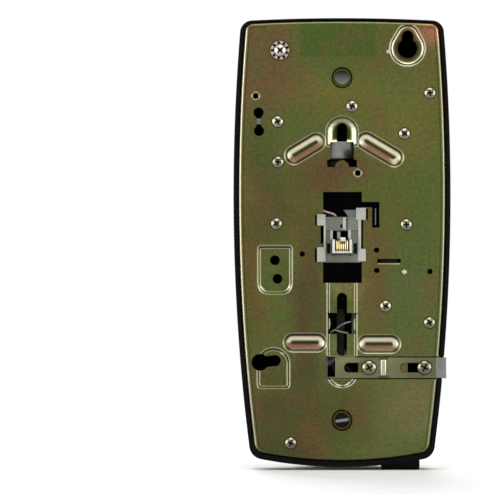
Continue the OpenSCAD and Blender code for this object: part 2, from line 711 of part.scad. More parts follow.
module plug_leads() {
    color([0.75, 0.4, 0.38]) for (i = [0:3]) {
        x = lead_x[i];
        y = -4.4 - i * lead_pitch;
        end_x = 7.4 - i * 2;
        // out of the notch at its side, under the plate, and round to the clamp
        wire(concat(bezier([[x, y, 2 * lead_end_gap - 2], [x, y, 0.4], [9, y, -0.4], [12, y, 3]], 7),
                    [for (k = [1:8]) bezier([[12, y, 3], [14.4, y, 5.8], [end_x, clamp_y, 7],
                                             [end_x, clamp_y, clamp_z - lead_end_gap]], 8)[k]]),
             lead_r, 6);
    }
}
module lead_clamp() {
    color([0.85, 0.83, 0.75]) block(-1, clamp_x1, clamp_y - 2, -sheet, clamp_z, clamp_z + 5);
}

/* Network board */

board_z0 = -13;
board_z1 = 55;
board_side_gap = 15.1;
board_x0 = 17;
board_x1 = half_w(board_z1) - board_side_gap;
board_screws = [small_screws[0], small_screws[4], small_screws[5]];
spacer_dia = 6;
module network_board() {
    color([0.35, 0.45, 0.25]) difference() {
        block(board_x0, board_x1, board_y - board_t, board_y, board_z0, board_z1);
        for (p = board_screws) inwards(p, 1) cylinder(h = 20, d = shank_dia);
    }
}
module board_spacers() {
    color([0.8, 0.8, 0.78]) difference() {
        for (p = board_screws) inwards(p, -sheet) difference() {
            cylinder(h = -board_y - sheet, d = spacer_dia);
            translate([0, 0, -eps]) cylinder(h = 3, d = shank_dia);
        }
        // clears the back of the bead beside it
        tapered_capsule(beads[1][0], beads[1][1], bead_mouth_r + sheet, bead_floor_r + sheet,
                        bead_d + 0.3, -sheet);
    }
}
module network_parts() {
    front = board_y - board_t;
    room = front - floor_in_y;
    middle = (board_x0 + board_x1) / 2;
    pitch = 0.249733 * (board_x1 - board_x0);
    color([0.3, 0.28, 0.4]) {
        // transformer
        block(board_x0 + 3, middle + 7, front - 0.69 * room, front, board_z0 + 17, board_z0 + 33);
        // capacitors
        for (z = [board_z1 - 21, board_z1 - 16]) inwards([middle + 5, z], front)
            cylinder(h = 0.56 * room, d = 8);
        // rectifier
        block(board_x0 + 2, board_x0 + 10, front - 0.3 * room, front, board_z1 - 24, board_z1 - 13);
        // resistors
        for (i = [1:4]) translate([board_x0 + i * pitch, front - 1.25, board_z1 - 6])
            cylinder(h = 5, d = 2.4);
        // terminal strip
        block(board_x0 + 1.4, board_x1 - 1, front - 0.37 * room, front, board_z0 + 1.5, board_z0 + 5);
    }
}
module board_leads() {
    color([0.7, 0.7, 0.66]) for (i = [0:3]) {
        start_y = clamp_y + 1.5 - i;
        end_y = board_y - board_t + 0.3 + i * 0.3;
        end_z = clamp_z + 2 + 2 * i;
        wire(bezier([[clamp_x1 + lead_end_gap, start_y, clamp_z + 2.5],
                     [board_x0 - 4, start_y, clamp_z + 2.5],
                     [board_x0 - 4, end_y, end_z], [board_x0 - 2 * lead_end_gap, end_y, end_z]], 7),
             lead_r * 0.8, 6);
    }
}

/* Ringer */

gong_z = 33.5 - body_bottom;
gong_side_gap = 2.2;
gong_at = [half_w(gong_z) - wall - side_draft - gong_side_gap - gong_r, gong_z];
gong_y = level(0.279);
gong_h = 9 / 13.8 * (gong_y - frame_y);
gong_round = 9 / 13.786 * (gong_y - frame_y);
gong_t = 1.4;
gong_post_dia = 6;
gong_stud_dia = 3;
coil_z = -58;
coil_x = [side_x(-0.6955), -15];
coil_dia = -frame_y - sheet - coil_room;
coil_y = frame_y + coil_dia / 2 + 0.3;
winding_dia = 12.9936 / 14.9936 * coil_dia;
core_dia = 6 / 14.9936 * coil_dia;
hinge_at = [-10, coil_z + 7];
armature_end_z = coil_z - 8;
hammer_dia = 5;
hammer_gap = 1;
hammer_z = gong_z + 3;
hammer_x = gong_at.x - sqrt(pow(gong_r, 2) - pow(hammer_z - gong_z, 2)) - hammer_gap
           - hammer_dia / 2;
hammer_y = gong_y - 0.66 * gong_h;
ringer_screws = [small_screws[7], small_screws[8], small_screws[9]];
post_dia = 6;
frame_margin = 2.5;
module ringer_frame() {
    left = ringer_screws[1].x - frame_margin;
    right = hinge_at.x + 2 * frame_margin;
    top = hinge_at.y + 3 * frame_margin;
    bottom = armature_end_z - frame_margin;
    arm_x = gong_at.x + gong_post_dia;
    arm_top = gong_z + gong_r;
    foot_z = ringer_screws[2].y - post_dia / 2;
    color([0.6, 0.6, 0.58]) {
        slab(frame_y, frame_t)
            polygon([[left, top], [right, top], [right, armature_end_z],
                     [gong_at.x - gong_r * 0.7, arm_top], [arm_x, arm_top], [arm_x, foot_z],
                     [ringer_screws[2].x - post_dia / 2, foot_z],
                     [gong_at.x - gong_r / 2, gong_z + gong_r / 2], [hinge_at.x, bottom],
                     [left, bottom]]);
        for (p = ringer_screws) inwards(p, -sheet) difference() {
            cylinder(h = -frame_y - sheet, d = post_dia);
            translate([0, 0, -eps]) cylinder(h = 3, d = shank_dia);
        }
        // yoke round the coil
        block(coil_x[0] - 2, coil_x[0], frame_y - eps, coil_y + coil_dia / 2, coil_z - 6, coil_z + 6);
        // post of the gong
        inwards(gong_at, gong_y - gong_h + 0.8)
            cylinder(h = gong_y - gong_h + 1 - frame_y, d = gong_post_dia);
        inwards(gong_at, gong_y - 1) cylinder(h = gong_h, d = gong_stud_dia);
        // stop beside the armature
        block(hinge_at.x + 2.4, hinge_at.x + 3.8, frame_y - eps, coil_y + 3,
              armature_end_z, armature_end_z + 4);
    }
}
module ringer_coil() {
    cheek = 1.2;
    color([0.55, 0.25, 0.15]) translate([coil_x[0], coil_y, coil_z]) rotate([0, 90, 0]) {
        difference() {
            union() {
                cylinder(h = coil_x[1] - coil_x[0], d = winding_dia);
                for (x = [0, coil_x[1] - coil_x[0] - cheek]) translate([0, 0, x])
                    cylinder(h = cheek, d = coil_dia);
            }
            translate([0, 0, -1]) cylinder(h = coil_x[1] - coil_x[0] + 2, d = core_dia);
        }
    }
}
module ringer_core() {
    color([0.62, 0.62, 0.6]) translate([coil_x[0], coil_y, coil_z]) rotate([0, 90, 0])
        cylinder(h = coil_x[1] - coil_x[0] + 2, d = core_dia);
}
module gong_profile(grow) {
    intersection() {
        square([gong_r + grow, gong_h + grow]);
        union() {
            translate([gong_r - gong_round, 0]) circle(gong_round + grow);
            square([gong_r - gong_round, gong_h + grow]);
            square([gong_r + grow, 4]);
        }
    }
}
module gong() {
    color([0.8, 0.75, 0.55]) inwards(gong_at, gong_y - gong_h) mirror([0, 0, 1])
        rotate_extrude() difference() {
            gong_profile(0);
            translate([0, -eps]) gong_profile(-gong_t);
            square([gong_stud_dia / 2 + 0.1, gong_h + 1]);
        }
}
module gong_nut() {
    color([0.7, 0.7, 0.68]) inwards(gong_at, gong_y + 2.2) difference() {
        cylinder(h = 2.2, d = 7, $fn = 6);
        translate([0, 0, -1]) cylinder(h = 5, d = gong_stud_dia);
    }
}
module clapper() {
    arm_y0 = coil_y - 3;
    arm_y1 = coil_y + 3;
    color([0.5, 0.5, 0.5]) difference() {
        union() {
            block(hinge_at.x - 1, hinge_at.x + 1, arm_y0, arm_y1, armature_end_z, hinge_at.y);
            translate([hinge_at.x, arm_y0, hinge_at.y]) rotate([-90, 0, 0])
                cylinder(h = arm_y1 - arm_y0, d = 5);
            rod = [hammer_x, hammer_z] - [hinge_at.x, armature_end_z + 1];
            translate([hinge_at.x, hammer_y, armature_end_z + 1]) rotate([0, 90 - angle_of(rod), 0])
                cylinder(h = norm(rod), d = 1.4);
            translate([hammer_x, hammer_y, hammer_z]) sphere(d = hammer_dia);
        }
        inwards(hinge_at, 0) cylinder(h = 40, d = 2.2);
    }
}
module clapper_pin() {
    color([0.7, 0.7, 0.7]) {
        inwards(hinge_at, coil_y + 4.5) cylinder(h = coil_y + 4.5 - frame_y, d = 2.1);
        inwards(hinge_at, coil_y + 4.5) cylinder(h = 0.8, d = 4);
    }
}

/* Line switch */

switch_y = level(0.238);
switch_t = 1.2;
switch_screws = [small_screws[2], small_screws[3], small_screws[6]];
switch_x = [switch_screws[0].x - post_dia / 2, switch_screws[1].x + post_dia / 2];
stack_x = [switch_x[0] + 5.3, switch_x[1] - 2.4];
stack_z = [16, 30];
spring_t = 0.4;
spring_z = [20, 26];
spring_count = 4;
spring_y = level(0.381);
plunger_tip_y = trough_y;
plunger_flange_t = 1.4;
plunger_spare = 1.6;
plunger_nose_l = 2.6;
flange_y = floor_in_y + plunger_flange_t + plunger_travel + plunger_spare;
last_spring_y = flange_y + plunger_nose_l + 0.3 + spring_t;
spring_pitch = (spring_y - last_spring_y) / (spring_count - 1);
module switch_frame() {
    color([0.62, 0.6, 0.5]) difference() {
        union() {
            block(switch_x[0], switch_x[1], switch_y - switch_t, switch_y,
                  switch_screws[2].y - post_dia / 2, switch_screws[0].y + post_dia / 2);
            // side wall beside the springs
            block(switch_x[0] + 3.4, switch_x[0] + 4.4, last_spring_y - 3.7, switch_y - switch_t + eps,
                  stack_z[0] - 4, stack_z[1] + 4);
            for (p = switch_screws) inwards(p, -sheet)
                cylinder(h = -switch_y - sheet + eps, d = post_dia);
        }
        for (p = switch_screws) inwards(p, -sheet + 1) cylinder(h = 4, d = shank_dia);
    }
}
module switch_stack() {
    color([0.35, 0.2, 0.12]) for (i = [0:spring_count]) {
        top = i == 0 ? switch_y - switch_t : spring_y - (i - 1) * spring_pitch - spring_t;
        bottom = i == spring_count ? top - 1.2 : spring_y - i * spring_pitch;
        block(stack_x[0], stack_x[1], bottom, top, stack_z[0], stack_z[1]);
    }
}
module switch_springs() {
    arm_x = [plunger_at.x - 3, plunger_at.x + 2];
    color([0.8, 0.72, 0.5]) for (i = [0:spring_count - 1]) {
        y = spring_y - i * spring_pitch;
        block(stack_x[0] + 0.8, stack_x[1] - 1, y - spring_t, y, spring_z[0], spring_z[1]);
        block(stack_x[1] - 1.5, arm_x[1], y - spring_t, y, spring_z[0], spring_z[1] - 1);
        block(arm_x[0], arm_x[1], y - spring_t, y, spring_z[0],
              i == spring_count - 1 ? plunger_at.y + 3 : plunger_at.y - 8 - i);
    }
}
module hook_plunger() {
    nose_y = last_spring_y - spring_t - 0.3;
    color([0.1, 0.1, 0.1]) {
        inwards(plunger_at, flange_y) cylinder(h = flange_y - plunger_tip_y - 1, d = plunger_dia);
        inwards(plunger_at, plunger_tip_y + 1 + eps)
            cylinder(h = 1 + eps, d1 = plunger_dia, d2 = plunger_dia - 2);
        inwards(plunger_at, flange_y) cylinder(h = plunger_flange_t, d = plunger_dia + 4);
        inwards(plunger_at, nose_y) cylinder(h = nose_y - flange_y + eps, d = 4);
    }
}

/* Jacks */

module jack(x, y, z, w, d, h) {
    difference() {
        block(x - w / 2, x + w / 2, y - d, y, z, z + h);
        block(x - socket_w / 2, x + socket_w / 2, y - d / 2 - socket_d / 2, y - d / 2 + socket_d / 2,
              z - 1, z + h - 2);
        block(x - 2, x + 2, y - d / 2 + socket_d / 2 - eps, y - d / 2 + socket_d / 2 + 1.4,
              z - 1, z + h - 5);
    }
}
module jack_contacts(x, y, z, d, h) {
    for (i = [-1.5:1.5])
        block(x + i * 1.27 - 0.2, x + i * 1.27 + 0.2, y - d / 2 - socket_d / 2,
              y - d / 2 - socket_d / 2 + 1, z + 2, z + h - 2);
}
cord_jack_z = cord_boss_z + 1.5;
module cord_jack() {
    color([0.12, 0.12, 0.12])
        jack(cord_jack_x, cord_jack_y, cord_jack_z, cord_jack_w, cord_jack_d, cord_jack_h);
}
module cord_jack_contacts() {
    color([0.86, 0.7, 0.3])
        jack_contacts(cord_jack_x, cord_jack_y, cord_jack_z, cord_jack_d, cord_jack_h);
}

/* Trough fittings */

module cradle_tab() {
    color([0.06, 0.06, 0.06]) {
        difference() {
            block(-tab_w / 2, tab_w / 2, trough_y - 6, trough_y, tab_z - 5, tab_z);
            translate([-tab_w / 2 - 1, trough_y - 6, tab_z - 5]) rotate([35, 0, 0])
                cube([tab_w + 2, 6, 6], center = false);
        }
        for (side = [-1, 1]) inwards([side * tab_w / 4, tab_z - 2.5], floor_in_y)
            cylinder(h = floor_in_y - trough_y + eps, d = tab_peg_dia);
    }
}
module number_card() {
    color([0.93, 0.92, 0.88]) slab(trough_y + card_recess, 0.4)
        translate([0, card_z]) polygon(round_rect(card_w, card_h, 2));
}
module card_window() {
    color([0.8, 0.85, 0.88, 0.5]) slab(trough_y + card_recess - 0.4, 0.8)
        translate([0, card_z]) polygon(round_rect(card_w, card_h, 2));
}

/* Handset */

face_y = trough_y - handset_gap - cup_rise;
face_t = 2;
split_y = face_y - face_t;
handset_top = handset_z + handset_l / 2;
handset_bottom = handset_z - handset_l / 2;
mouth_l = 42;
ear_z = handset_top - ear_l / 2;
mouth_z = handset_bottom + mouth_l / 2;
ear_capsule_dia = 38;
mouth_capsule_dia = 31;
handset_corner = 14;
handset_rounding = [for (a = [0:15:90])
    [split_y - 8 - (handset_front + split_y - 8) * sin(a), 11 * (1 - cos(a))]];
module handset_solid(thick, back_y) {
    hull() {
        slab(back_y, eps) translate([0, handset_z])
            polygon(round_rect(handset_w - 2 * thick, handset_l - 2 * thick, handset_corner - thick));
        for (s = handset_rounding) slab(s[0] + thick + eps, eps) translate([0, handset_z])
            polygon(round_rect(handset_w - 2 * (thick + s[1]), handset_l - 2 * (thick + s[1]),
                               handset_corner - thick - s[1] * 0.4));
    }
}
handset_screw_z = [handset_top - ear_l - 5, handset_bottom + mouth_l + 5];
handset_jack_w = 13;
handset_jack_d = 10;
handset_jack_h = 12;
handset_jack_y = split_y - 1;
handset_jack_z = handset_bottom + handset_wall + 1.6;
module handset_shell() {
    color([0.05, 0.05, 0.05]) difference() {
        handset_solid(0, split_y);
        difference() {
            handset_solid(handset_wall, split_y + 1);
            for (z = handset_screw_z) inwards([0, z], split_y) cylinder(h = 40, d = 7);
        }
        for (z = handset_screw_z) inwards([0, z], split_y + eps) cylinder(h = 9, d = 2.8);
        block(-socket_w / 2 - 0.6, socket_w / 2 + 0.6,
              handset_jack_y - handset_jack_d / 2 - socket_d / 2 - 0.6,
              handset_jack_y - handset_jack_d / 2 + socket_d / 2 + 2, handset_bottom - 1,
              handset_bottom + handset_wall + 1);
    }
}
module cup_block(z, l, grow, back_y, floor_y) {
    hull() {
        slab(back_y, eps) translate([0, z])
            polygon(round_rect(handset_w - 5 - 2 * grow, l - 4 - 2 * grow, handset_corner - 1 - grow));
        slab(floor_y, eps) translate([0, z])
            polygon(round_rect(handset_w - 2 * grow, l - 2 * grow, handset_corner - grow));
    }
}
keypad_z = (handset_top - ear_l + handset_bottom + mouth_l) / 2;
keypad_w = 2 * key_pitch_x + key_w + 5;
keypad_h = 3 * key_pitch_z + key_h + 5;
module handset_face() {
    cup_top_y = face_y + cup_rise;
    color([0.05, 0.05, 0.05]) difference() {
        union() {
            slab(face_y, face_t) translate([0, handset_z])
                polygon(round_rect(handset_w, handset_l, handset_corner));
            cup_block(ear_z, ear_l, 0, cup_top_y, face_y - eps);
            cup_block(mouth_z, mouth_l, 0, cup_top_y, face_y - eps);
        }
        cup_block(ear_z, ear_l, handset_wall, cup_top_y - handset_wall, split_y - 1);
        cup_block(mouth_z, mouth_l, handset_wall, cup_top_y - handset_wall, split_y - 1);
        slab(face_y + 1, face_t + 2) translate([0, keypad_z])
            polygon(round_rect(keypad_w - 2, keypad_h - 2, 2));
        for (z = handset_screw_z) {
            inwards([0, z], face_y + 1) cylinder(h = face_t + 2, d = 3.2);
            inwards([0, z], face_y + 1) cylinder(h = 1.8, d = 6);
        }
        for (z = [ear_z, mouth_z]) for (i = [0:6]) let (a = i * 60, r = i == 6 ? 0 : 5)
            inwards([r * cos(a), z + r * sin(a)], cup_top_y + 1) cylinder(h = 5, d = 2.2);
    }
}
module capsule_unit(z, dia, depth, y) {
    inwards([0, z], y) {
        cylinder(h = 1.6, d = dia);
        cylinder(h = depth, d = dia - 5);
        for (side = [-1, 1]) translate([side * 7, -2, depth - eps]) cylinder(h = 1.2, d = 3.6);
    }
}
capsule_y = face_y + cup_rise - handset_wall;
module receiver() {
    color([0.7, 0.7, 0.68]) capsule_unit(ear_z, ear_capsule_dia, 13, capsule_y);
}
module transmitter() {
    color([0.72, 0.7, 0.6]) capsule_unit(mouth_z, mouth_capsule_dia, 7, capsule_y);
}
module keypad_plate() {
    color([0.3, 0.3, 0.31]) difference() {
        slab(face_y - face_t + 0.8 + 0.6, 1.4) translate([0, keypad_z])
            polygon(round_rect(keypad_w - 2.2, keypad_h - 2.2, 2));
        slab(face_y + 1, 20) for (i = [0:11]) translate(key_at(i))
            polygon(round_rect(key_w + 2 * key_gap, key_h + 2 * key_gap, 1.5));
    }
}
function key_at(i) = [(1 - i % 3) * key_pitch_x, keypad_z + (1.5 - floor(i / 3)) * key_pitch_z];
key_flange_y = split_y - 0.3;
key_foot_y = key_flange_y - 3;
module key(i) {
    color([0.88, 0.87, 0.84]) translate([0, 0, 0]) {
        hull() {
            slab(face_y + key_proud, eps) translate(key_at(i))
                polygon(round_rect(key_w - 1.6, key_h - 1.6, 1.2, 3));
            slab(face_y + key_proud - 0.8, eps) translate(key_at(i))
                polygon(round_rect(key_w, key_h, 1.2, 3));
        }
        slab(face_y + key_proud - 0.8, face_y + key_proud - 0.8 - key_flange_y)
            translate(key_at(i)) polygon(round_rect(key_w, key_h, 1.2, 3));
        slab(key_flange_y, 1) translate(key_at(i))
            square([key_w + 1.6, key_h + 1.6], center = true);
        slab(key_flange_y - 1 + eps, key_flange_y - 1 - key_foot_y) translate(key_at(i))
            square([4, 4], center = true);
    }
}
board_back_y = key_foot_y - key_travel - 0.3;
module keypad_board() {
    color([0.2, 0.4, 0.25]) difference() {
        slab(board_back_y, board_t) translate([0, keypad_z])
            square([keypad_w, keypad_h], center = true);
        for (z = handset_screw_z) inwards([0, z], 0) cylinder(h = 60, d = 8);
    }
    color([0.2, 0.4, 0.25]) for (sx = [-1, 1]) for (sz = [-1, 1])
        inwards([sx * (keypad_w / 2 - 1.6), keypad_z + sz * key_pitch_z], split_y)
            cylinder(h = split_y - board_back_y + eps, d = 2.2);
}
module handset_jack() {
    color([0.12, 0.12, 0.12]) jack(0, handset_jack_y, handset_jack_z, handset_jack_w,
                                   handset_jack_d, handset_jack_h);
}
module handset_jack_contacts() {
    color([0.86, 0.7, 0.3])
        jack_contacts(0, handset_jack_y, handset_jack_z, handset_jack_d, handset_jack_h);
}
module handset_screws() {
    color([0.6, 0.6, 0.62]) for (z = handset_screw_z) inwards([0, z], face_y - 0.1) {
        cylinder(h = 0.7, d = 5.4);
        cylinder(h = 9, d = 2.8);
    }
}

housing();
baseplate();
plate_screws();
earth_screw();
housing_screws();
stud_spring();
lock_slide();
lock_screws();
latch_lever();
lever_pin();
plug_carrier();
wall_plug();
plug_contacts();
plug_leads();
lead_clamp();
network_board();
network_parts();
board_spacers();
board_leads();
ringer_frame();
ringer_coil();
ringer_core();
gong();
gong_nut();
clapper();
clapper_pin();
switch_frame();
switch_stack();
switch_springs();
hook_plunger();
cord_jack();
cord_jack_contacts();
cradle_tab();
number_card();
card_window();
handset_shell();
handset_face();
receiver();
transmitter();
keypad_plate();
keypad_board();
handset_jack();
handset_jack_contacts();
handset_screws();
for (i = [0:11]) key(i);
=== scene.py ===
import json
import math
import bpy
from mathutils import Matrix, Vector, geometry


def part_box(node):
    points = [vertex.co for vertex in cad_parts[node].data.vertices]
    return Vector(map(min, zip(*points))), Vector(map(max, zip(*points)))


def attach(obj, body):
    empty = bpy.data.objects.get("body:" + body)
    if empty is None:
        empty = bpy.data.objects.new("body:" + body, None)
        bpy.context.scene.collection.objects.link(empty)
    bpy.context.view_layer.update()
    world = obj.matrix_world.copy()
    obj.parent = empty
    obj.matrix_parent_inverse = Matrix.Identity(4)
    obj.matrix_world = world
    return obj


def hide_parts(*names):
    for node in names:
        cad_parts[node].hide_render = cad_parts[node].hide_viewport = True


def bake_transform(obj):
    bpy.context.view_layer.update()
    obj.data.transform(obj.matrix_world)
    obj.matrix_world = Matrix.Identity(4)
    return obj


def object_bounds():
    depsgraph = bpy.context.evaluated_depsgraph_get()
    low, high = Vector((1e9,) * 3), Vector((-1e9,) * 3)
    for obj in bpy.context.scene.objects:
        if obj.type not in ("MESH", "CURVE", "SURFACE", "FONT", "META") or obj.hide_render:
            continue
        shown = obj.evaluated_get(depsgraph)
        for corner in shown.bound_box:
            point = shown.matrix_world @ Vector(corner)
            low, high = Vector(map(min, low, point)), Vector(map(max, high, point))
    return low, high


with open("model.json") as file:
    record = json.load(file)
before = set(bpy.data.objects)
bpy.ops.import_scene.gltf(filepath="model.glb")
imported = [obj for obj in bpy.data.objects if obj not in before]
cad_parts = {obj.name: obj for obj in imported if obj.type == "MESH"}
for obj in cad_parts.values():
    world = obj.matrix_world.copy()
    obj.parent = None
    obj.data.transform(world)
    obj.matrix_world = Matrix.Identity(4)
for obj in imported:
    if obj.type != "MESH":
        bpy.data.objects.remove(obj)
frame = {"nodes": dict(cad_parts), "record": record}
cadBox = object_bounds()
bodyOf = {node: body for body, nodes in frame["record"]["behaviour"]["bodies"].items() for node in nodes}
slotByNode = {node: piece.material_slots[0].material.name.split(".")[0]
              for node, piece in frame["nodes"].items()}
mm = 0.001
rightAngle = math.pi / 2
print("frame loaded:", len(frame["nodes"]), "nodes")


# tools for meshes: sizes in mm, angles in degrees

def selectOnly(*pieces):
    if bpy.context.mode != "OBJECT":
        bpy.ops.object.mode_set(mode="OBJECT")
    bpy.ops.object.select_all(action="DESELECT")
    for piece in pieces:
        piece.select_set(True)
    bpy.context.view_layer.objects.active = pieces[0]


def settle(piece, at=None):
    # puts a piece's place into its mesh, so its object sits at the origin
    if at:
        piece.location = (at[0] * mm, 0, at[1] * mm)
    selectOnly(piece)
    bpy.ops.object.transform_apply(location=True, rotation=True, scale=True)
    return piece


def smoothByAngle(piece, degrees):
    selectOnly(piece)
    bpy.ops.object.shade_smooth_by_angle(angle=math.radians(degrees))


def editMesh(piece, operator, **settings):
    selectOnly(piece)
    bpy.ops.object.mode_set(mode="EDIT")
    bpy.ops.mesh.select_all(action="SELECT")
    operator(**settings)
    bpy.ops.object.mode_set(mode="OBJECT")


def modify(piece, kind, **settings):
    modifier = piece.modifiers.new(kind, kind)
    for name, value in settings.items():
        setattr(modifier, name, value)
    selectOnly(piece)
    for each in list(piece.modifiers):
        bpy.ops.object.modifier_apply(modifier=each.name)


def roundEdges(piece, width, segments=2, degrees=30, flat=False):
    if flat:
        # the big flat faces keep their own direction next to the rounding
        selectOnly(piece)
        bpy.ops.object.shade_smooth()
    modify(piece, "BEVEL", width=width * mm, segments=segments, limit_method="ANGLE",
           angle_limit=math.radians(degrees), use_clamp_overlap=False, harden_normals=flat)
    return piece


def cutWith(piece, *cutters, operation="DIFFERENCE"):
    for cutter in cutters:
        modify(piece, "BOOLEAN", operation=operation, solver="EXACT", object=cutter)
        bpy.data.objects.remove(cutter)


def uniteWith(piece, *others):
    cutWith(piece, *others, operation="UNION")


def joinPieces(pieces, name):
    selectOnly(*pieces)
    if len(pieces) > 1:
        bpy.ops.object.join()
    joined = bpy.context.view_layer.objects.active
    joined.name = name
    return joined


def addObject(name, data):
    holder = bpy.data.objects.new(name, data)
    bpy.context.scene.collection.objects.link(holder)
    return holder


def addMesh(name, points, faces):
    mesh = bpy.data.meshes.new(name)
    mesh.from_pydata([[v * mm for v in point] for point in points], [], faces)
    return addObject(name, mesh)


def addPrimitive(name, operator, scale=None, **settings):
    selectOnly(frame["nodes"]["housing"])
    bpy.ops.object.select_all(action="DESELECT")
    operator(**settings)
    piece = bpy.context.active_object
    piece.name = name
    if scale:
        piece.scale = scale
    return settle(piece)


def addRound(name, radius, low, high, at=(0, 0), sides=32, topRadius=None):
    # a disc or cone along Y, from the level low to the level high, at X and Z
    return addPrimitive(name, bpy.ops.mesh.primitive_cone_add, vertices=sides, radius1=radius * mm,
                        radius2=(radius if topRadius is None else topRadius) * mm, depth=(high - low) * mm,
                        location=(at[0] * mm, (low + high) / 2 * mm, at[1] * mm),
                        rotation=(-rightAngle, 0, 0))


def addBar(low, high, name="tool", turn=0):
    # a bar between two corners, turned about its own Y
    low, high = [v * mm for v in low], [v * mm for v in high]
    return addPrimitive(name, bpy.ops.mesh.primitive_cube_add, [b - a for a, b in zip(low, high)], size=1,
                        location=[(a + b) / 2 for a, b in zip(low, high)],
                        rotation=(0, math.radians(turn), 0))


def roundedBars(sizes, edge, name):
    return joinPieces([roundEdges(addBar(*size), edge, 3) for size in sizes], name)


def loft(name, rings):
    # skin over rings of points with the same count, closed at both ends
    count = len(rings[0])
    faces = [tuple(range(count)), tuple(range((len(rings) - 1) * count, len(rings) * count))]
    for k in range(0, (len(rings) - 1) * count, count):
        for i in range(count):
            j = (i + 1) % count
            faces.append((k + i, k + j, k + count + j, k + count + i))
    piece = addMesh(name, [point for ring in rings for point in ring], faces)
    editMesh(piece, bpy.ops.mesh.normals_make_consistent, inside=False)
    return piece


def dress(piece, finish, node=None, degrees=None, slotName=None, body="base"):
    # a piece that stands for a node takes the node's body, and the node is hidden
    if degrees:
        smoothByAngle(piece, degrees)
    if node:
        slotName, body = slotByNode[node], bodyOf[node]
    piece.data.materials.clear()
    piece.data.materials.append(finishes[finish])
    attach(piece, body)
    if node:
        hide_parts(node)


# tools for materials: a colour is six hex digits, a socket or a tuple of linear light

def tone(code):
    if not isinstance(code, str):
        return code
    parts = [int(code[i:i + 2], 16) / 255 for i in (0, 2, 4)]
    return (*[v / 12.92 if v <= 0.04045 else ((v + 0.055) / 1.055) ** 2.4 for v in parts], 1.0)


def feed(tree, node, inputs):
    for socket, given in inputs.items():
        if isinstance(given, bpy.types.NodeSocket):
            tree.links.new(given, node.inputs[socket])
        else:
            node.inputs[socket].default_value = given


def addNode(tree, kind, inputs, output=0, **settings):
    node = tree.nodes.new("ShaderNode" + kind)
    for name, value in settings.items():
        setattr(node, name, value)
    feed(tree, node, inputs)
    return node.outputs[output]


def startMaterial(name, roughness=0.5, metallic=0.0):
    material = bpy.data.materials.new(name)
    material.use_nodes = True
    tree = material.node_tree
    shader = tree.nodes["Principled BSDF"]
    feed(tree, shader, {"Roughness": roughness, "Metallic": metallic})
    return material, tree, shader, addNode(tree, "TexCoord", {}, "Object")


def noise(tree, place, scale, detail=3.0, rough=0.55, stretch=None, warp=0.0):
    if stretch:
        place = addNode(tree, "Mapping", {"Vector": place, "Scale": stretch})
    return addNode(tree, "TexNoise", {"Vector": place, "Scale": scale, "Detail": detail, "Roughness": rough,
                                      "Distortion": warp}, "Fac")


def ramp(tree, value, stops):
    node = tree.nodes.new("ShaderNodeValToRGB")
    points = node.color_ramp.elements
    while len(points) < len(stops):
        points.new(0.5)
    for point, (at, colour) in zip(points, stops):
        point.position = at
        point.color = tone(colour)
    feed(tree, node, {"Fac": value})
    return node.outputs["Color"]


def mixColours(tree, value, a, b, how="MIX"):
    return addNode(tree, "Mix", {"Factor": value, "A": tone(a), "B": tone(b)}, "Result",
                   data_type="RGBA", blend_type=how)


def spread(tree, value, low, high, fromLow=0.3, fromHigh=0.7, how="LINEAR"):
    return addNode(tree, "MapRange", {"Value": value, "From Min": fromLow, "From Max": fromHigh,
                                      "To Min": low, "To Max": high}, interpolation_type=how)


def bumps(tree, height, depth, strength):
    return addNode(tree, "Bump", {"Height": height, "Distance": depth, "Strength": strength})


def letThrough(tree, shader, share, colour=(1, 1, 1, 1)):
    # light goes straight through the surface by a share
    clear = addNode(tree, "BsdfTransparent", {"Color": colour})
    blend = addNode(tree, "MixShader", {0: share, 1: shader.outputs[0], 2: clear})
    feed(tree, tree.nodes["Material Output"], {"Surface": blend})


# camera, lights and floor, in metres

studio = {
    # width: how much of the wall side the picture takes in
    "view": {"width": 0.245, "centre": (0.0451, 0.0, -0.0167), "distance": 2.2, "sensor": 36.0},
    # place, width and height, power
    "lamps": {"leftBox": ((1.15, 0.62, 0.12), (0.85, 1.1), 13),
              "rightBox": ((-1.15, 0.58, 0.05), (0.8, 1.1), 11.5),
              "topBox": ((-0.05, 0.62, 1.2), (0.9, 0.7), 8),
              "frontBox": ((0.3, -1.4, 0.9), (1.2, 0.9), 20)},
    "worldDiffuse": 0.3, "floorRadius": 0.9, "fadeFrom": 0.25, "floorGap": 0.0002,
}


def buildCamera():
    view = studio["view"]
    camera = addObject("camera", bpy.data.cameras.new("camera"))
    camera.location = Vector(view["centre"]) + Vector((0, view["distance"], 0))
    camera.rotation_euler = (rightAngle, 0, math.pi)
    camera.data.sensor_width = view["sensor"]
    camera.data.lens = view["sensor"] * view["distance"] / view["width"]
    camera.data.clip_end = 20
    bpy.context.scene.camera = camera


def buildLights():
    for name, (place, size, power) in studio["lamps"].items():
        lamp = bpy.data.lights.new(name, "AREA")
        lamp.shape = "RECTANGLE"
        lamp.size, lamp.size_y = size
        lamp.energy = power
        holder = addObject(name, lamp)
        holder.location = place
        holder.rotation_euler = (-Vector(place)).to_track_quat("-Z", "Y").to_euler()
    world = bpy.data.worlds.new("studioWorld")
    bpy.context.scene.world = world
    world.use_nodes = True
    tree = world.node_tree
    # white to the camera, to mirrors and through glass, dimmer on the surfaces
    ray = tree.nodes.new("ShaderNodeLightPath").outputs
    mirrored = addNode(tree, "Math", {0: ray["Is Glossy Ray"], 1: ray["Is Transmission Ray"]},
                       operation="MAXIMUM")
    seen = addNode(tree, "Math", {0: ray["Is Camera Ray"], 1: mirrored}, operation="MAXIMUM")
    feed(tree, tree.nodes["Background"],
         {"Color": (1, 1, 1, 1), "Strength": spread(tree, seen, studio["worldDiffuse"], 1, 0, 1)})


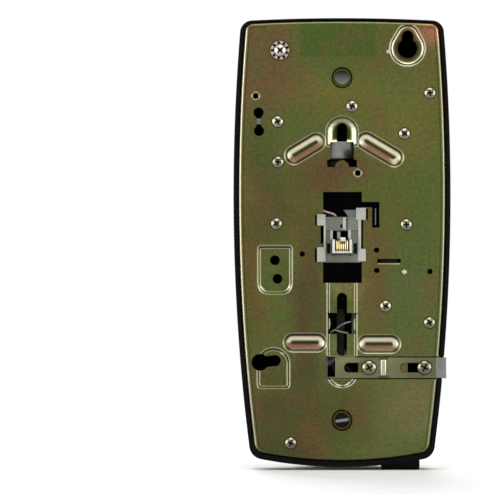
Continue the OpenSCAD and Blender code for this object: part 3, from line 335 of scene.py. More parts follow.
def buildFloor():
    floor = addPrimitive("floor", bpy.ops.mesh.primitive_circle_add, vertices=96, fill_type="NGON",
                         radius=studio["floorRadius"], location=(0, 0, cadBox[0][2] - studio["floorGap"]))
    material, tree, shader, place = startMaterial("paleFloor", 0.7)
    grain = noise(tree, place, 60, 2, 0.5)
    tint = mixColours(tree, grain, (0.93, 0.93, 0.92, 1), (0.97, 0.97, 0.96, 1))
    feed(tree, shader, {"Base Color": tint})
    away = addNode(tree, "VectorMath", {0: place}, "Value", operation="LENGTH")
    faded = spread(tree, away, 0, 1, studio["fadeFrom"], studio["floorRadius"], "SMOOTHSTEP")
    letThrough(tree, shader, faded)
    floor.data.materials.append(material)


bpy.context.scene.view_settings.view_transform = "Standard"
buildCamera()
buildLights()
buildFloor()
print("stage built")


# materials: depths of bumps in metres, scales of noise in waves to a metre

def mouldedPlastic(name, dark, light, roughness=0.38, grain=1500, depth=0.00003, coat=0.0, shine=0.5):
    material, tree, shader, place = startMaterial(name)
    cloud = noise(tree, place, 45, 4)
    fine = noise(tree, place, grain, 2, 0.6)
    feed(tree, shader, {"Base Color": ramp(tree, cloud, [(0.35, dark), (0.7, light)]),
                        "Roughness": spread(tree, cloud, roughness - 0.06, roughness + 0.08),
                        "Normal": bumps(tree, fine, depth, 0.35),
                        "Specular IOR Level": shine, "Coat Weight": coat, "Coat Roughness": 0.15})
    return material


def workedMetal(name, dark, light, roughness=0.3, stretch=(1, 1, 12), scale=120, depth=0.00002):
    material, tree, shader, place = startMaterial(name, metallic=0.95)
    grain = noise(tree, place, scale, 4, 0.6, stretch)
    feed(tree, shader, {"Base Color": ramp(tree, noise(tree, place, 60), [(0.3, dark), (0.7, light)]),
                        "Roughness": spread(tree, grain, roughness - 0.08, roughness + 0.12),
                        "Normal": bumps(tree, grain, depth, 0.4)})
    return material


def shadedSteel(name, dark, light, fade, blackened):
    # the heights in metres between which it goes from painted shade to bare
    material = workedMetal(name, dark, light, 0.36, (1, 1, 9), 200, 0.000008)
    tree = material.node_tree
    shader = tree.nodes["Principled BSDF"]
    height = addNode(tree, "SeparateXYZ", {0: addNode(tree, "TexCoord", {}, "Object")}, "Z")
    bare = shader.inputs["Base Color"].links[0].from_socket
    tint = mixColours(tree, spread(tree, height, 1.0, 0.0, *fade), bare, blackened)
    feed(tree, shader, {"Base Color": tint})
    return material


def clearPlastic(name, tint, weight, roughness=0.12):
    # a thin clear moulding: light passes through it by a share, and the rest shows its surface
    material, tree, shader, place = startMaterial(name)
    flow = noise(tree, place, 140, 2)
    colour = ramp(tree, flow, [(0.3, tint), (0.7, "F4F6F2")])
    feed(tree, shader, {"Base Color": colour, "Roughness": spread(tree, flow, roughness, roughness + 0.12)})
    letThrough(tree, shader, weight, colour)
    return material


def woundCopper():
    material, tree, shader, place = startMaterial("woundCopper", 0.3, 0.6)
    wave = addNode(tree, "TexWave", {"Vector": place, "Scale": 700}, "Fac", bands_direction="X")
    feed(tree, shader, {"Base Color": ramp(tree, wave, [(0.2, "4A1F10"), (0.8, "A4572C")]),
                        "Normal": bumps(tree, wave, 0.00008, 0.6)})
    return material


def ruledCard():
    material, tree, shader, place = startMaterial("ruledCard", 0.6)
    wave = addNode(tree, "TexWave", {"Vector": place, "Scale": 36}, "Fac", bands_direction="Z")
    lines = [(0.0, "9AA3AE"), (0.06, "EFECE2"), (1.0, "F3F0E7")]
    feed(tree, shader, {"Base Color": ramp(tree, wave, lines),
                        "Normal": bumps(tree, noise(tree, place, 900), 0.00003, 0.3)})
    return material


def printedBoard():
    material, tree, shader, place = startMaterial("printedBoard", 0.35)
    cells = addNode(tree, "TexVoronoi", {"Vector": place, "Scale": 260}, "Distance",
                    feature="DISTANCE_TO_EDGE")
    tracks = spread(tree, cells, 1.0, 0.0, 0.05, 0.12)
    feed(tree, shader, {"Base Color": mixColours(tree, tracks, "3E5A2C", "6F8A3F"),
                        "Normal": bumps(tree, cells, 0.00005, 0.4)})
    return material


chromate = {
    "clouds": 11, "grain": 620, "metallic": 0.78, "roughness": (0.25, 0.37), "wander": 0.016, "drift": 38,
    "film": ["5B5A30", "646534", "5A6A35", "6B6C3C"],
    "shade": [(0.3, (0.56, 0.55, 0.46, 1)), (0.7, (0.9, 0.87, 0.7, 1))],
    # painted light from the plate's attributes: brown painted on the beads' lower, shaded halves, painted
    # highlights along the pressed edges, painted shade beside them
    "worn": [("brown", "8E6254", 0.7), ("crest", "EFE8CC", 0.75), ("foot", "0B0804", 0.93)],
    # flecks of green and pink in the film: scale of the noise and the most that they cover
    "green": "456A30", "pink": "84503E", "flecks": [(42, 0.24), (240, 0.13)],
    # broad tints of the film: centre X and Z, half sizes in mm, colour, strength
    "tints": [
        ((44, 72), (26, 42), "6E583F", 0.8), ((-46, 92), (15, 13), "B47C62", 0.85),
        ((-30, 48), (26, 30), "74783E", 0.55), ((6, 21), (24, 13), "644736", 0.8),
        ((16, -46), (12, 62), "584130", 0.8), ((46, -30), (7, 60), "6A4A2C", 0.6),
        ((36, 5), (16, 24), "47542C", 0.6), ((-14, -30), (9, 42), "6B5238", 0.55),
        ((-34, -45), (18, 42), "5F6C43", 0.6), ((34, -102), (26, 26), "50432A", 0.75),
        ((2, -100), (28, 20), "564A2E", 0.65), ((6, 60), (25, 13), "857A38", 0.4),
        ((38, 20), (11, 34), "44582E", 0.4), ((30, -118), (20, 9), "3C3A26", 0.5),
        ((0, -38), (8, 9), "8E8B5E", 0.5), ((0, -66), (8, 6), "8E8B5E", 0.45),
        ((24, -76), (22, 13), "4A3E2A", 0.5), ((-34, -98), (20, 24), "7A7C56", 0.75),
    ],
    # the square patch near the top: centre, half sizes, colour, strength
    "patch": ((2, 84.9), (18.6, 8.3), "4C6229", 0.85),
}


def chromatedPlate():
    # zinc plate under a yellow chromate film, which goes from green through olive to brown and pink
    material, tree, shader, place = startMaterial("chromatedPlate", metallic=chromate["metallic"])
    clouds = noise(tree, place, chromate["clouds"], 3, 0.5, (1.25, 1, 0.8), 0.7)
    film = ramp(tree, clouds, [(0.3 + 0.13 * i, code) for i, code in enumerate(chromate["film"])])
    drift = addNode(tree, "TexNoise", {"Vector": place, "Scale": chromate["drift"], "Detail": 3}, "Color")
    wander = chromate["wander"]
    offset = addNode(tree, "VectorMath", {0: drift, 1: (2 * wander,) * 3, 2: (-wander,) * 3},
                     operation="MULTIPLY_ADD")
    wandering = addNode(tree, "VectorMath", {0: place, 1: offset})

    def tinted(base, source, look, edges, square=False):
        (x, z), (halfX, halfZ), code, strength = look
        away = addNode(tree, "VectorMath", {0: source, 1: (1 / (halfX * mm), 0, 1 / (halfZ * mm)),
                                            2: (-x / halfX, 0, -z / halfZ)}, operation="MULTIPLY_ADD")
        if square:
            sides = addNode(tree, "VectorMath", {0: away}, operation="ABSOLUTE")
            sideX, sideZ = [addNode(tree, "SeparateXYZ", {0: sides}, axis) for axis in "XZ"]
            reach = addNode(tree, "Math", {0: sideX, 1: sideZ}, operation="MAXIMUM")
        else:
            reach = addNode(tree, "VectorMath", {0: away}, "Value", operation="LENGTH")
        return mixColours(tree, spread(tree, reach, strength, 0.0, *edges), base, code)
    for look in chromate["tints"]:
        film = tinted(film, wandering, look, (0.2, 1.15))
    film = tinted(film, place, chromate["patch"], (0.96, 1.04), True)
    grain = noise(tree, place, chromate["grain"], 3, 0.7)
    for scale, most in chromate["flecks"]:
        fleck = noise(tree, place, scale, 3, 0.6)
        film = mixColours(tree, spread(tree, fleck, most, 0.0, 0.36, 0.5), film, chromate["green"])
        film = mixColours(tree, spread(tree, fleck, 0.0, most, 0.5, 0.64), film, chromate["pink"])
    film = mixColours(tree, 1.0, film, ramp(tree, grain, chromate["shade"]), "MULTIPLY")
    # painted highlights, painted shade and the beads' shaded brown, read from the pressed plate's attributes
    for layer, code, strength in chromate["worn"]:
        worn = addNode(tree, "Attribute", {}, "Fac", attribute_name=layer)
        film = mixColours(tree, spread(tree, worn, 0.0, strength, 0.0, 1.0), film, code)
    feed(tree, shader, {"Base Color": film, "Roughness": spread(tree, grain, *chromate["roughness"]),
                        "Normal": bumps(tree, grain, 0.00003, 0.3)})
    return material


def camelCase(name):
    first, *others = name.split("_")
    return first + "".join(word.capitalize() for word in others)


plastics = {
    # dark and light colour, roughness, scale and depth of the grain, coat, shine
    "black_housing": ("030202", "060504", 0.46, 1700, 0.00003, 0.0, 0.07),
    "black_handset": ("070606", "0E0D0C", 0.24, 1900, 0.00002, 0.25, 0.3),
    "black_moulding": ("0A0A0A", "151413", 0.42, 1300, 0.00003, 0.0, 0.3),
    # the dark finish of the painted shade in and round the screws, and of the plug's back
    "grime": ("080705", "14110C", 0.6, 900, 0.00003, 0.0, 0.1),
    "grey_plastic": ("4A4E49", "6B7066", 0.42, 1200, 0.00003, 0.0, 0.35),
    "rubbed_plastic": ("8F918A", "ADADA4", 0.34, 1200, 0.00003, 0.0, 0.4),
    "red_brown": ("6E2E20", "93442F", 0.5, 900), "lead_insulation": ("8F3A36", "B95A50", 0.4, 2200),
    "pale_plastic": ("C9C4B4", "DEDACB", 0.45, 1100), "board_parts": ("20243A", "39405E", 0.35, 900),
    "brown_insulator": ("3A2013", "57331F", 0.45, 600), "key_plastic": ("D8D4C8", "E8E5DB", 0.35, 1400),
    "key_ink": ("1A1A1C", "2A2A2C", 0.5, 1500),
}
metals = {
    # dark and light colour, roughness, stretch and scale of the grain
    "chromated_steel": ("6E6B52", "96927A", 0.22, (1, 1, 1), 700),
    "lock_steel": ("5E5F45", "7D7D5A", 0.3, (8, 1, 1), 260),
    "screw_steel": ("6B6857", "8E8B77", 0.14, (1, 1, 1), 700),
    "pale_zinc": ("A79B8C", "CFC4B4", 0.2, (1, 1, 1), 500),
    "bare_steel": ("747974", "8C918B", 0.3, (1, 1, 6), 300),
    "dull_steel": ("4C524A", "6C7268", 0.36, (1, 1, 1), 300),
    "bright_steel": ("6C6F6D", "8E908C", 0.34, (1, 1, 9), 200, 0.000008),
    "dark_steel": ("0C0C0B", "20201E", 0.36, (6, 1, 1), 160),
    "gold_contact": ("8C7440", "BDA878", 0.22, (1, 1, 8), 400),
    "gong_brass": ("B29347", "D9C07A", 0.16, (1, 1, 14), 90),
    "spring_brass": ("B39A55", "D6C58C", 0.24, (1, 1, 12), 200),
}
finishes = {
    **{name: mouldedPlastic(camelCase(name), *look) for name, look in plastics.items()},
    **{name: workedMetal(camelCase(name), *look) for name, look in metals.items()},
    # bare and bright where a stud rubs it; painted shade on the spring below a height, where it lies behind
    # the plate, and on the upper cup screw's head towards its top, under its cup's rim
    "spring_steel": shadedSteel("springSteel", "787B76", "9A9D96", (0.0265, 0.0275), "0B0A08"),
    "cup_steel": shadedSteel("cupSteel", "5A6158", "767C71", (0.0692, 0.0636), "1C201C"),
    "chromated_plate": chromatedPlate(), "circuit_board": printedBoard(), "copper_coil": woundCopper(),
    "card_white": ruledCard(), "clear_plastic": clearPlastic("clearPlug", "D9DDD5", 0.3),
    "clear_window": clearPlastic("clearWindow", "F0F3F4", 0.88, 0.08),
}

for cadPiece in frame["nodes"].values():
    for holder in cadPiece.material_slots:
        holder.material = finishes[holder.material.name.split(".")[0]]
print("finishes set on", len(slotByNode), "nodes")


# the baseplate, pressed from one sheet: sizes in mm, places as X and Z

plate = {
    "sheet": 1.2, "flangeDepth": 6.0, "edgeRadius": 1.8, "edgeSteps": 7, "inset": 2.3, "rise": 0.6,
    "topReach": 0.5, "halfWidth": 53.2, "widestZ": 8.8, "sideRadius": 990, "top": 95.5, "topRadius": 860,
    "bottom": 124.5, "bottomRadius": 210, "topCorner": 6, "bottomCorner": 7,
    "forms": {
        # box: x0, x1, z0, z1, corner radii (top, bottom), depth, width of the leaning wall, kind of painted
        # highlight and shade
        "upperTrack": ("box", (-8.0, 8.0, 32.6, 47.5), (8.0, 1.2), 2.2, 4.4, "arch"),
        "lowerTrack": ("box", (-7.4, 7.4, -85.8, -28.3), (0.1, 7.4), 1.2, 1.6, "box"),
        "pad": ("box", (24.3, 41.4, -40.0, -16.0), (1.5, 5.4), 1.2, 1.8, "box"),
        "sidePad": ("box", (25.5, 41.7, -86.2, -66.0), (8.0, 2.2), 1.2, 1.8, "box"),
        # this one runs out through the turned edge
        "lockChannel": ("box", (-54.0, 8.0, -81.45, -70.35), (0.6, 0.6), 2.6, 0.7, "box"),
        # pear and bead: two centres and their radii, depth, width of the wall, kind of painted highlight and
        # shade
        "hanger": ("pear", ((-32.1, 80.7), (-32.2, 86.6)), (8.8, 5.9), 1.2, 2.0, "pear"),
        "upperCup": ("pear", ((0, 66.2056), (0, 66.3)), (5.0, 5.0), 3.0, 0.6, "cup"),
        "lowerCup": ("pear", ((0, -101.7), (0, -101.6)), (5.0, 5.0), 3.0, 0.6, "cup"),
        "beadLeft": ("bead", ((12.7, 34.8), (23.5, 28.3)), (4.6, 4.6), 2.0, 3.7, "bead"),
        "beadRight": ("bead", ((-11.8, 35.3), (-25.5, 27.2)), (4.6, 4.6), 2.0, 3.7, "bead"),
        "beadLowLeft": ("bead", ((12.1, -63.5), (24.1, -63.5)), (4.6, 4.6), 2.0, 3.7, "bead"),
        "beadLowRight": ("bead", ((-12.1, -64.2), (-24.1, -64.2)), (4.6, 4.6), 2.0, 3.7, "bead"),
    },
    "rounds": {
        # diameter: centres of the punched holes
        9.4: [(-32.1, 80.7)], 8.3: [(40.2, -73.2)], 4.8: [(32.9, -23.2), (31.6, -32.3)],
        5.0: [(40.9, 49.2), (40.7, 40.2)], 4.0: [(-13.3, -75.9), (-40.5, -75.9)],
        2.7: [(-16.9, -18.2), (-17.0, -28.2), (-43.1, -28.7), (42.3, 57.3), (-7.7, 19.5), (19.5, -20.1),
              (-30.6, -29.0)],
        3.6: [(31.6, 44.8), (-4.9, 52.3), (-43.1, 58.8), (-30.6, 38.9), (31.4, 25.0), (32.2, -5.3),
              (-31.5, -5.7), (-21.4, -45.7), (-42.9, -53.8), (25.2, -112.8), (30.4, 79.7), (0, 66.2056),
              (0, -101.7)],
    },
    "slots": [
        # ends and width of the punched slots
        ((-32.1, 80.7), (-32.2, 86.6), 5.5), ((40.2, -73.2), (32.7, -72.4), 5.4),
        ((40.9, 49.2), (40.7, 40.2), 2.4), ((0, 30), (0, 41.65), 5.0), ((0, -41.65), (0, -67.6), 5.0),
    ],
    "waist": [(-7.6, -49.0), (-5.3, -54.0), (-6.7, -59.3), (7.0, -59.3), (5.3, -54.0), (7.3, -49.0)],
    "cuts": [
        # x0, z0, x1, z1: keyhole opening, plug window, its side slot, lever openings, groove
        (-5.8, 26, 5.8, 34.8), (-9.7, -34.3, 9.3, 10.3), (-18.3, 2.7, -6.3, 5.4), (-18.3, -7.2, -14.7, 4.8),
        (2.9, -80.4, 7.3, -70.6), (-8, -78.5, 4, -73.3), (-38.6, -78.2, -32.2, -73.6),
        (-28.8, -24.5, -17.2, -22.5),
        # reliefs beside the plug carrier, and the slots that its tabs are hooked through
        (9.0, -15.1, 10.5, -6.3), (-10.3, -18.0, -9.4, -3.5), (12.4, -24.0, 13.3, -17.4),
        (12.4, -6.0, 13.2, -0.9), (-12.7, -3.2, -11.8, 2.1),
    ],
    "earOpening": (-7.3, 22.5, 7.3, 26.1), "earTab": ((0, 22.4), 3.4),
    # painted highlights and painted shade along the pressed walls: (place as a share of the wall's width,
    # width in mm, share)
    "bright": {
        "bead": [(0.0, 0.2, 0.55)], "pear": [(0.0, 0.26, 0.85), (0.68, 0.4, 0.95)],
        "box": [(0.0, 0.24, 0.46), (0.8, 0.2, 0.44)], "arch": [(0.0, 0.26, 0.6), (0.48, 0.75, 1.0)],
        "cup": [(0.0, 0.2, 0.08)],
    },
    "dark": {
        "bead": [(0.23, 0.5, 1.0), (1.26, 0.75, 1.0)], "pear": [(0.33, 0.38, 1.0), (2.0, 1.1, 1.0)],
        "box": [(0.42, 0.36, 0.9)], "arch": [(0.15, 0.4, 0.95), (1.07, 0.8, 0.9)],
        "cup": [(0.4, 0.45, 0.7)],
    },
    # small painted highlights, where pressed corners and bead ends catch the light: X, Z, radius
    "rubbed": [
        (39.3, -37.2, 1.7), (26.4, -36.6, 1.6), (-9.9, 34.6, 1.4), (-25.9, 26.2, 1.5), (12.1, 36.2, 1.6),
        (-9.2, -63.9, 1.4), (-26.4, -63.6, 1.6), (9.9, -63.6, 1.5), (2.2, -84.2, 1.5), (-2.7, -84.0, 1.3),
        (27.6, -77, 0.8), (27.6, -81, 0.8), (29.5, -69.3, 1.0),
    ],
    # the flange is lower over the cord jack: from X to X, its depth there
    "lowFlange": (-38.6, -19.2, 4.5),
    # the painted highlight band on a bead's upper half, with brown painted on its shaded lower half (from,
    # to, steepness), the arch's share of painted highlight above a height, and the shares of painted
    # highlight along the lower end of a box, which faces up to the light (least, at its corners, at its
    # sides)
    "beadBand": (1.6, 3.5, 6), "archFade": (44, 0.45), "cornerHighlight": (0.3, 1.4, 0.7),
    # the turned edge's painted highlight all round, then what the sides towards +X and -X, which face the
    # side lamps, have on top
    "edgeHighlight": (0.08, 0.56, 0.24),
    # painted shade along the sides, just inside the turned edge: inset, share, least distance from the middle
    "grease": (0.55, 0.75, 38),
    # above this height the hanger's form runs out towards the turned edge, over this width
    "hangerFade": (84, 1.3),
    # how far outside a form's mouth its wall starts, and the rings that follow a bead
    "wallStart": 0.35, "beadStart": 0.5,
    "beadRings": [-0.75, -0.45, -0.2, 0, 0.2, 0.45, 0.7, 0.95, 1.2, 1.5, 1.9, 2.6, 3.3, 3.7, 4.0, 4.3, 4.5],
    "ringSpacing": 0.9, "holeSpacing": 0.45, "gridStep": 5.5,
}


def between(p, q, share):
    return (p[0] + (q[0] - p[0]) * share, p[1] + (q[1] - p[1]) * share)


def heading(a, b):
    return math.atan2(b[1] - a[1], b[0] - a[0])


def onCircle(centre, radius, angle):
    return (centre[0] + radius * math.cos(angle), centre[1] + radius * math.sin(angle))


def arcPoints(centre, radius, start, stop, spacing):
    count = max(2, math.ceil(abs(stop - start) * radius / spacing))
    return [onCircle(centre, radius, start + (stop - start) * i / count) for i in range(count + 1)]


def circleMeeting(a, ra, b, rb, side):
    d = math.dist(a, b)
    along = (d * d + ra * ra - rb * rb) / (2 * d)
    return onCircle(a, ra, heading(a, b) + side * math.acos(along / ra))


def bodyOutline(inset, soften=0.0, top=0.0):
    # four large arcs joined by corner arcs; soften adds to the corner radii, top lifts the top edge
    sideR, aboveR, belowR = plate["sideRadius"], plate["topRadius"], plate["bottomRadius"]
    side, above = (plate["halfWidth"] - sideR, plate["widestZ"]), (0, plate["top"] + top - aboveR)
    below = (0, belowR - plate["bottom"])
    topCorner, lowCorner = plate["topCorner"] + soften, plate["bottomCorner"] + soften
    cornerTop = circleMeeting(side, sideR - topCorner, above, aboveR - topCorner, 1)
    cornerLow = circleMeeting(side, sideR - lowCorner, below, belowR - lowCorner, -1)
    turns = [(below, belowR, -rightAngle, 26), (cornerLow, lowCorner, heading(below, cornerLow), 12),
             (side, sideR, heading(side, cornerLow), 110),
             (cornerTop, topCorner, heading(side, cornerTop), 12),
             (above, aboveR, heading(above, cornerTop), 24)]
    right = []
    for (centre, radius, start, count), stop in zip(turns, [turn[2] for turn in turns[1:]] + [rightAngle]):
        right += [onCircle(centre, radius - inset, start + (stop - start) * i / count)
                  for i in range(1 if right else 0, count + 1)]
    return right + [(-x, z) for x, z in right[-2:0:-1]]


def formDepth(form, x, z):
    # how far a place lies inside the form's mouth
    kind, shape, radii = form[:3]
    if kind == "box":
        x0, x1, z0, z1 = shape
        r = radii[0] if z > (z0 + z1) / 2 else radii[1]
        qx = abs(x - (x0 + x1) / 2) - (x1 - x0) / 2 + r
        qz = abs(z - (z0 + z1) / 2) - (z1 - z0) / 2 + r
        return r - min(max(qx, qz), 0) - math.hypot(max(qx, 0), max(qz, 0))
    (ax, az), (bx, bz) = shape
    dx, dz = bx - ax, bz - az
    length = math.hypot(dx, dz)
    lean = (radii[0] - radii[1]) / length
    along = ((x - ax) * dx + (z - az) * dz) / length
    across = abs((x - ax) * dz - (z - az) * dx) / length
    slope = math.sqrt(1 - lean * lean)
    shifted = along * slope - across * lean  # where the nearest point of the straight side falls
    if shifted <= 0:
        return radii[0] - math.hypot(along, across)
    if shifted >= length * slope:
        return radii[1] - math.hypot(along - length, across)
    return radii[0] - (across * slope + along * lean)


def ringAt(form, inset):
    # the form's outline, moved inwards by inset
    kind, shape, radii = form[:3]
    gap = plate["ringSpacing"]
    points = []
    if kind == "box":
        x0, x1, z0, z1 = shape[0] + inset, shape[1] - inset, shape[2] + inset, shape[3] - inset
        if x1 - x0 < 0.2 or z1 - z0 < 0.2:
            return []
        t, b = max(radii[0] - inset, 0.02), max(radii[1] - inset, 0.02)
        corners = ((x1 - t, z1 - t), t), ((x0 + t, z1 - t), t), ((x0 + b, z0 + b), b), ((x1 - b, z0 + b), b)
        for quarter, (centre, radius) in enumerate(corners):
            points += arcPoints(centre, radius, quarter * rightAngle, (quarter + 1) * rightAngle, gap)
    else:
        (a, b), ra, rb = shape, radii[0] - inset, radii[1] - inset
        if ra < 0.1:
            return [a, b]
        lean = math.acos((ra - rb) / math.dist(a, b))
        ahead = heading(a, b)
        points += arcPoints(b, max(rb, 0.02), ahead - lean, ahead + lean, gap)
        points += arcPoints(a, ra, ahead + lean, ahead - lean + 2 * math.pi, gap)
    spaced = []
    for p, q in zip(points, points[1:] + points[:1]):
        steps = max(1, round(math.dist(p, q) / (gap * 2.2)))
        spaced += [between(p, q, i / steps) for i in range(steps)]
    return [p for p, q in zip(spaced, spaced[-1:] + spaced[:-1]) if math.dist(p, q) > 0.01]


def pressedDepth(form, inside):
    # depth of the pressing where a place lies that far inside its mouth
    kind, _, radii, depth, wall, _ = form
    if kind == "bead":
        start = plate["beadStart"]
        t = min(max((inside + start) / (radii[0] + start), 0), 1)
        return depth * (1 - (1 - t) ** 2.2) * min(1, t / 0.16) ** 0.8
    start = plate["wallStart"]
    t = min(max((inside + start) / (wall + start), 0), 1)
    return depth * t * t * t * (t * (6 * t - 15) + 10)


def insideLoop(loop, x, z):
    inside = False
    for (x1, z1), (x2, z2) in zip(loop, loop[1:] + loop[:1]):
        if (z1 > z) != (z2 > z) and x < x1 + (z - z1) / (z2 - z1) * (x2 - x1):
            inside = not inside
    return inside


def plateEdge(inset=0.0):
    # where the flat of the plate ends, with a pair of points at each step of the flange
    edge = bodyOutline(plate["inset"] + plate["edgeRadius"] + inset, 0, plate["topReach"])
    edge = [(x, z + plate["rise"]) for x, z in edge]
    stepped = []
    for p, q in zip(edge, edge[1:] + edge[:1]):
        stepped.append(p)
        for x in plate["lowFlange"][1::-1]:
            if p[1] < 0 and (p[0] - x) * (q[0] - x) < 0:
                stepped += [between(p, q, (x + math.copysign(shift, (q[0] - p[0]) * shift) - p[0])
                                    / (q[0] - p[0])) for shift in (-0.03, 0.03)]
    return stepped


def highlightAndShade(form, x, z, inside):
    # shares of painted highlight and painted shade at a place of a pressed form, and of the brown painted on
    # a bead's lower, shaded half
    shape, radii, wall, look = form[1], form[2], form[4], form[5]
    bright, dark = (sum(share * math.exp(-((inside - at * wall) / width) ** 2)
                        for at, width, share in plate[name][look]) for name in ("bright", "dark"))
    brown = 0
    if look == "bead":
        (ax, az), (bx, bz) = shape
        start, end, steep = plate["beadBand"]
        band = 1 / (1 + math.exp((start - inside) * steep)) / (1 + math.exp((inside - end) * steep))
        # a bead's upper half takes a painted highlight, its lower half the brown of painted shade
        if z > az + (x - ax) * (bz - az) / (bx - ax):
            bright += band
        else:
            brown = band
    elif look == "arch" and z > plate["archFade"][0]:
        bright *= plate["archFade"][1]
    elif look == "box" and z < shape[2] + radii[1]:
        # painted highlight at the lower corners, which face up to the light, and hardly any along the lower
        # side
        centre = shape[0 if x < (shape[0] + shape[1]) / 2 else 1]
        turn = math.atan2(shape[2] + radii[1] - z, max(0, radii[1] - abs(centre - x)))
        least, corner, side = plate["cornerHighlight"]
        bright *= least + corner * math.sin(2 * turn) ** 4 + side * math.cos(turn) ** 6
    return bright, dark, brown


def rectangle(x0, z0, x1, z1):
    return [(x0, z0), (x1, z0), (x1, z1), (x0, z1)]


def plateCells(flatEdge, greased):
    # the sheet laid flat, punched and cut into triangles that follow every form
    gap, start = plate["holeSpacing"], plate["wallStart"]
    loops, outlines = [flatEdge, greased, plateEdge(0.2), plateEdge(0.95)], []
    for form in plate["forms"].values():
        wall = form[4]
        if form[0] == "bead":
            insets = plate["beadRings"]
        else:
            count = 12 if wall > 3 else 8
            insets = [-0.6, -start] + [-start + (wall + start) * k / count for k in range(1, count)]
            insets += [wall, wall + 0.3]
        loops += [ring for ring in (ringAt(form, inset) for inset in insets) if len(ring) > 2]
    for diameter, centres in plate["rounds"].items():
        outlines += [arcPoints(centre, diameter / 2, 0, 2 * math.pi, gap)[:-1] for centre in centres]
    for a, b, width in plate["slots"]:
        side = heading(a, b) + rightAngle
        outlines.append(arcPoints(b, width / 2, side - math.pi, side, gap)
                        + arcPoints(a, width / 2, side, side + math.pi, gap))
    outlines += [plate["waist"]] + [rectangle(*corners) for corners in plate["cuts"]]
    ear, (earAt, earRadius) = rectangle(*plate["earOpening"]), plate["earTab"]
    earTab = arcPoints(earAt, earRadius, 0, 2 * math.pi, gap)[:-1]
    step = plate["gridStep"]
    spots = [(x * step + 0.13, z * step + 0.21) for x in range(-9, 10) for z in range(-22, 17)]
    points, edges = [Vector(p) for p in spots if insideLoop(flatEdge, *p)], []
    for loop in loops + outlines + [ear, earTab]:
        start = len(points)
        points += [Vector(p) for p in loop]
        edges += [(start + i, start + (i + 1) % len(loop)) for i in range(len(loop))]
    flat, _, cells, _, _, _ = geometry.delaunay_2d_cdt(points, edges, [], 0, 0.00001)
    flat = [(p.x, p.y) for p in flat]
    bounded = [(min(x for x, z in loop), max(x for x, z in loop), loop) for loop in outlines]

    def punched(x, z):
        return (any(x0 < x < x1 and insideLoop(loop, x, z) for x0, x1, loop in bounded)
                or insideLoop(ear, x, z) and not insideLoop(earTab, x, z))

    def solid(cell):
        x, z = (sum(flat[i][axis] for i in cell) / 3 for axis in (0, 1))
        return insideLoop(flatEdge, x, z) and not punched(x, z)
    cells = [cell for cell in cells if solid(cell)]
    used = sorted({i for cell in cells for i in cell})
    number = {old: new for new, old in enumerate(used)}
    return [flat[i] for i in used], [tuple(number[i] for i in cell) for cell in cells]


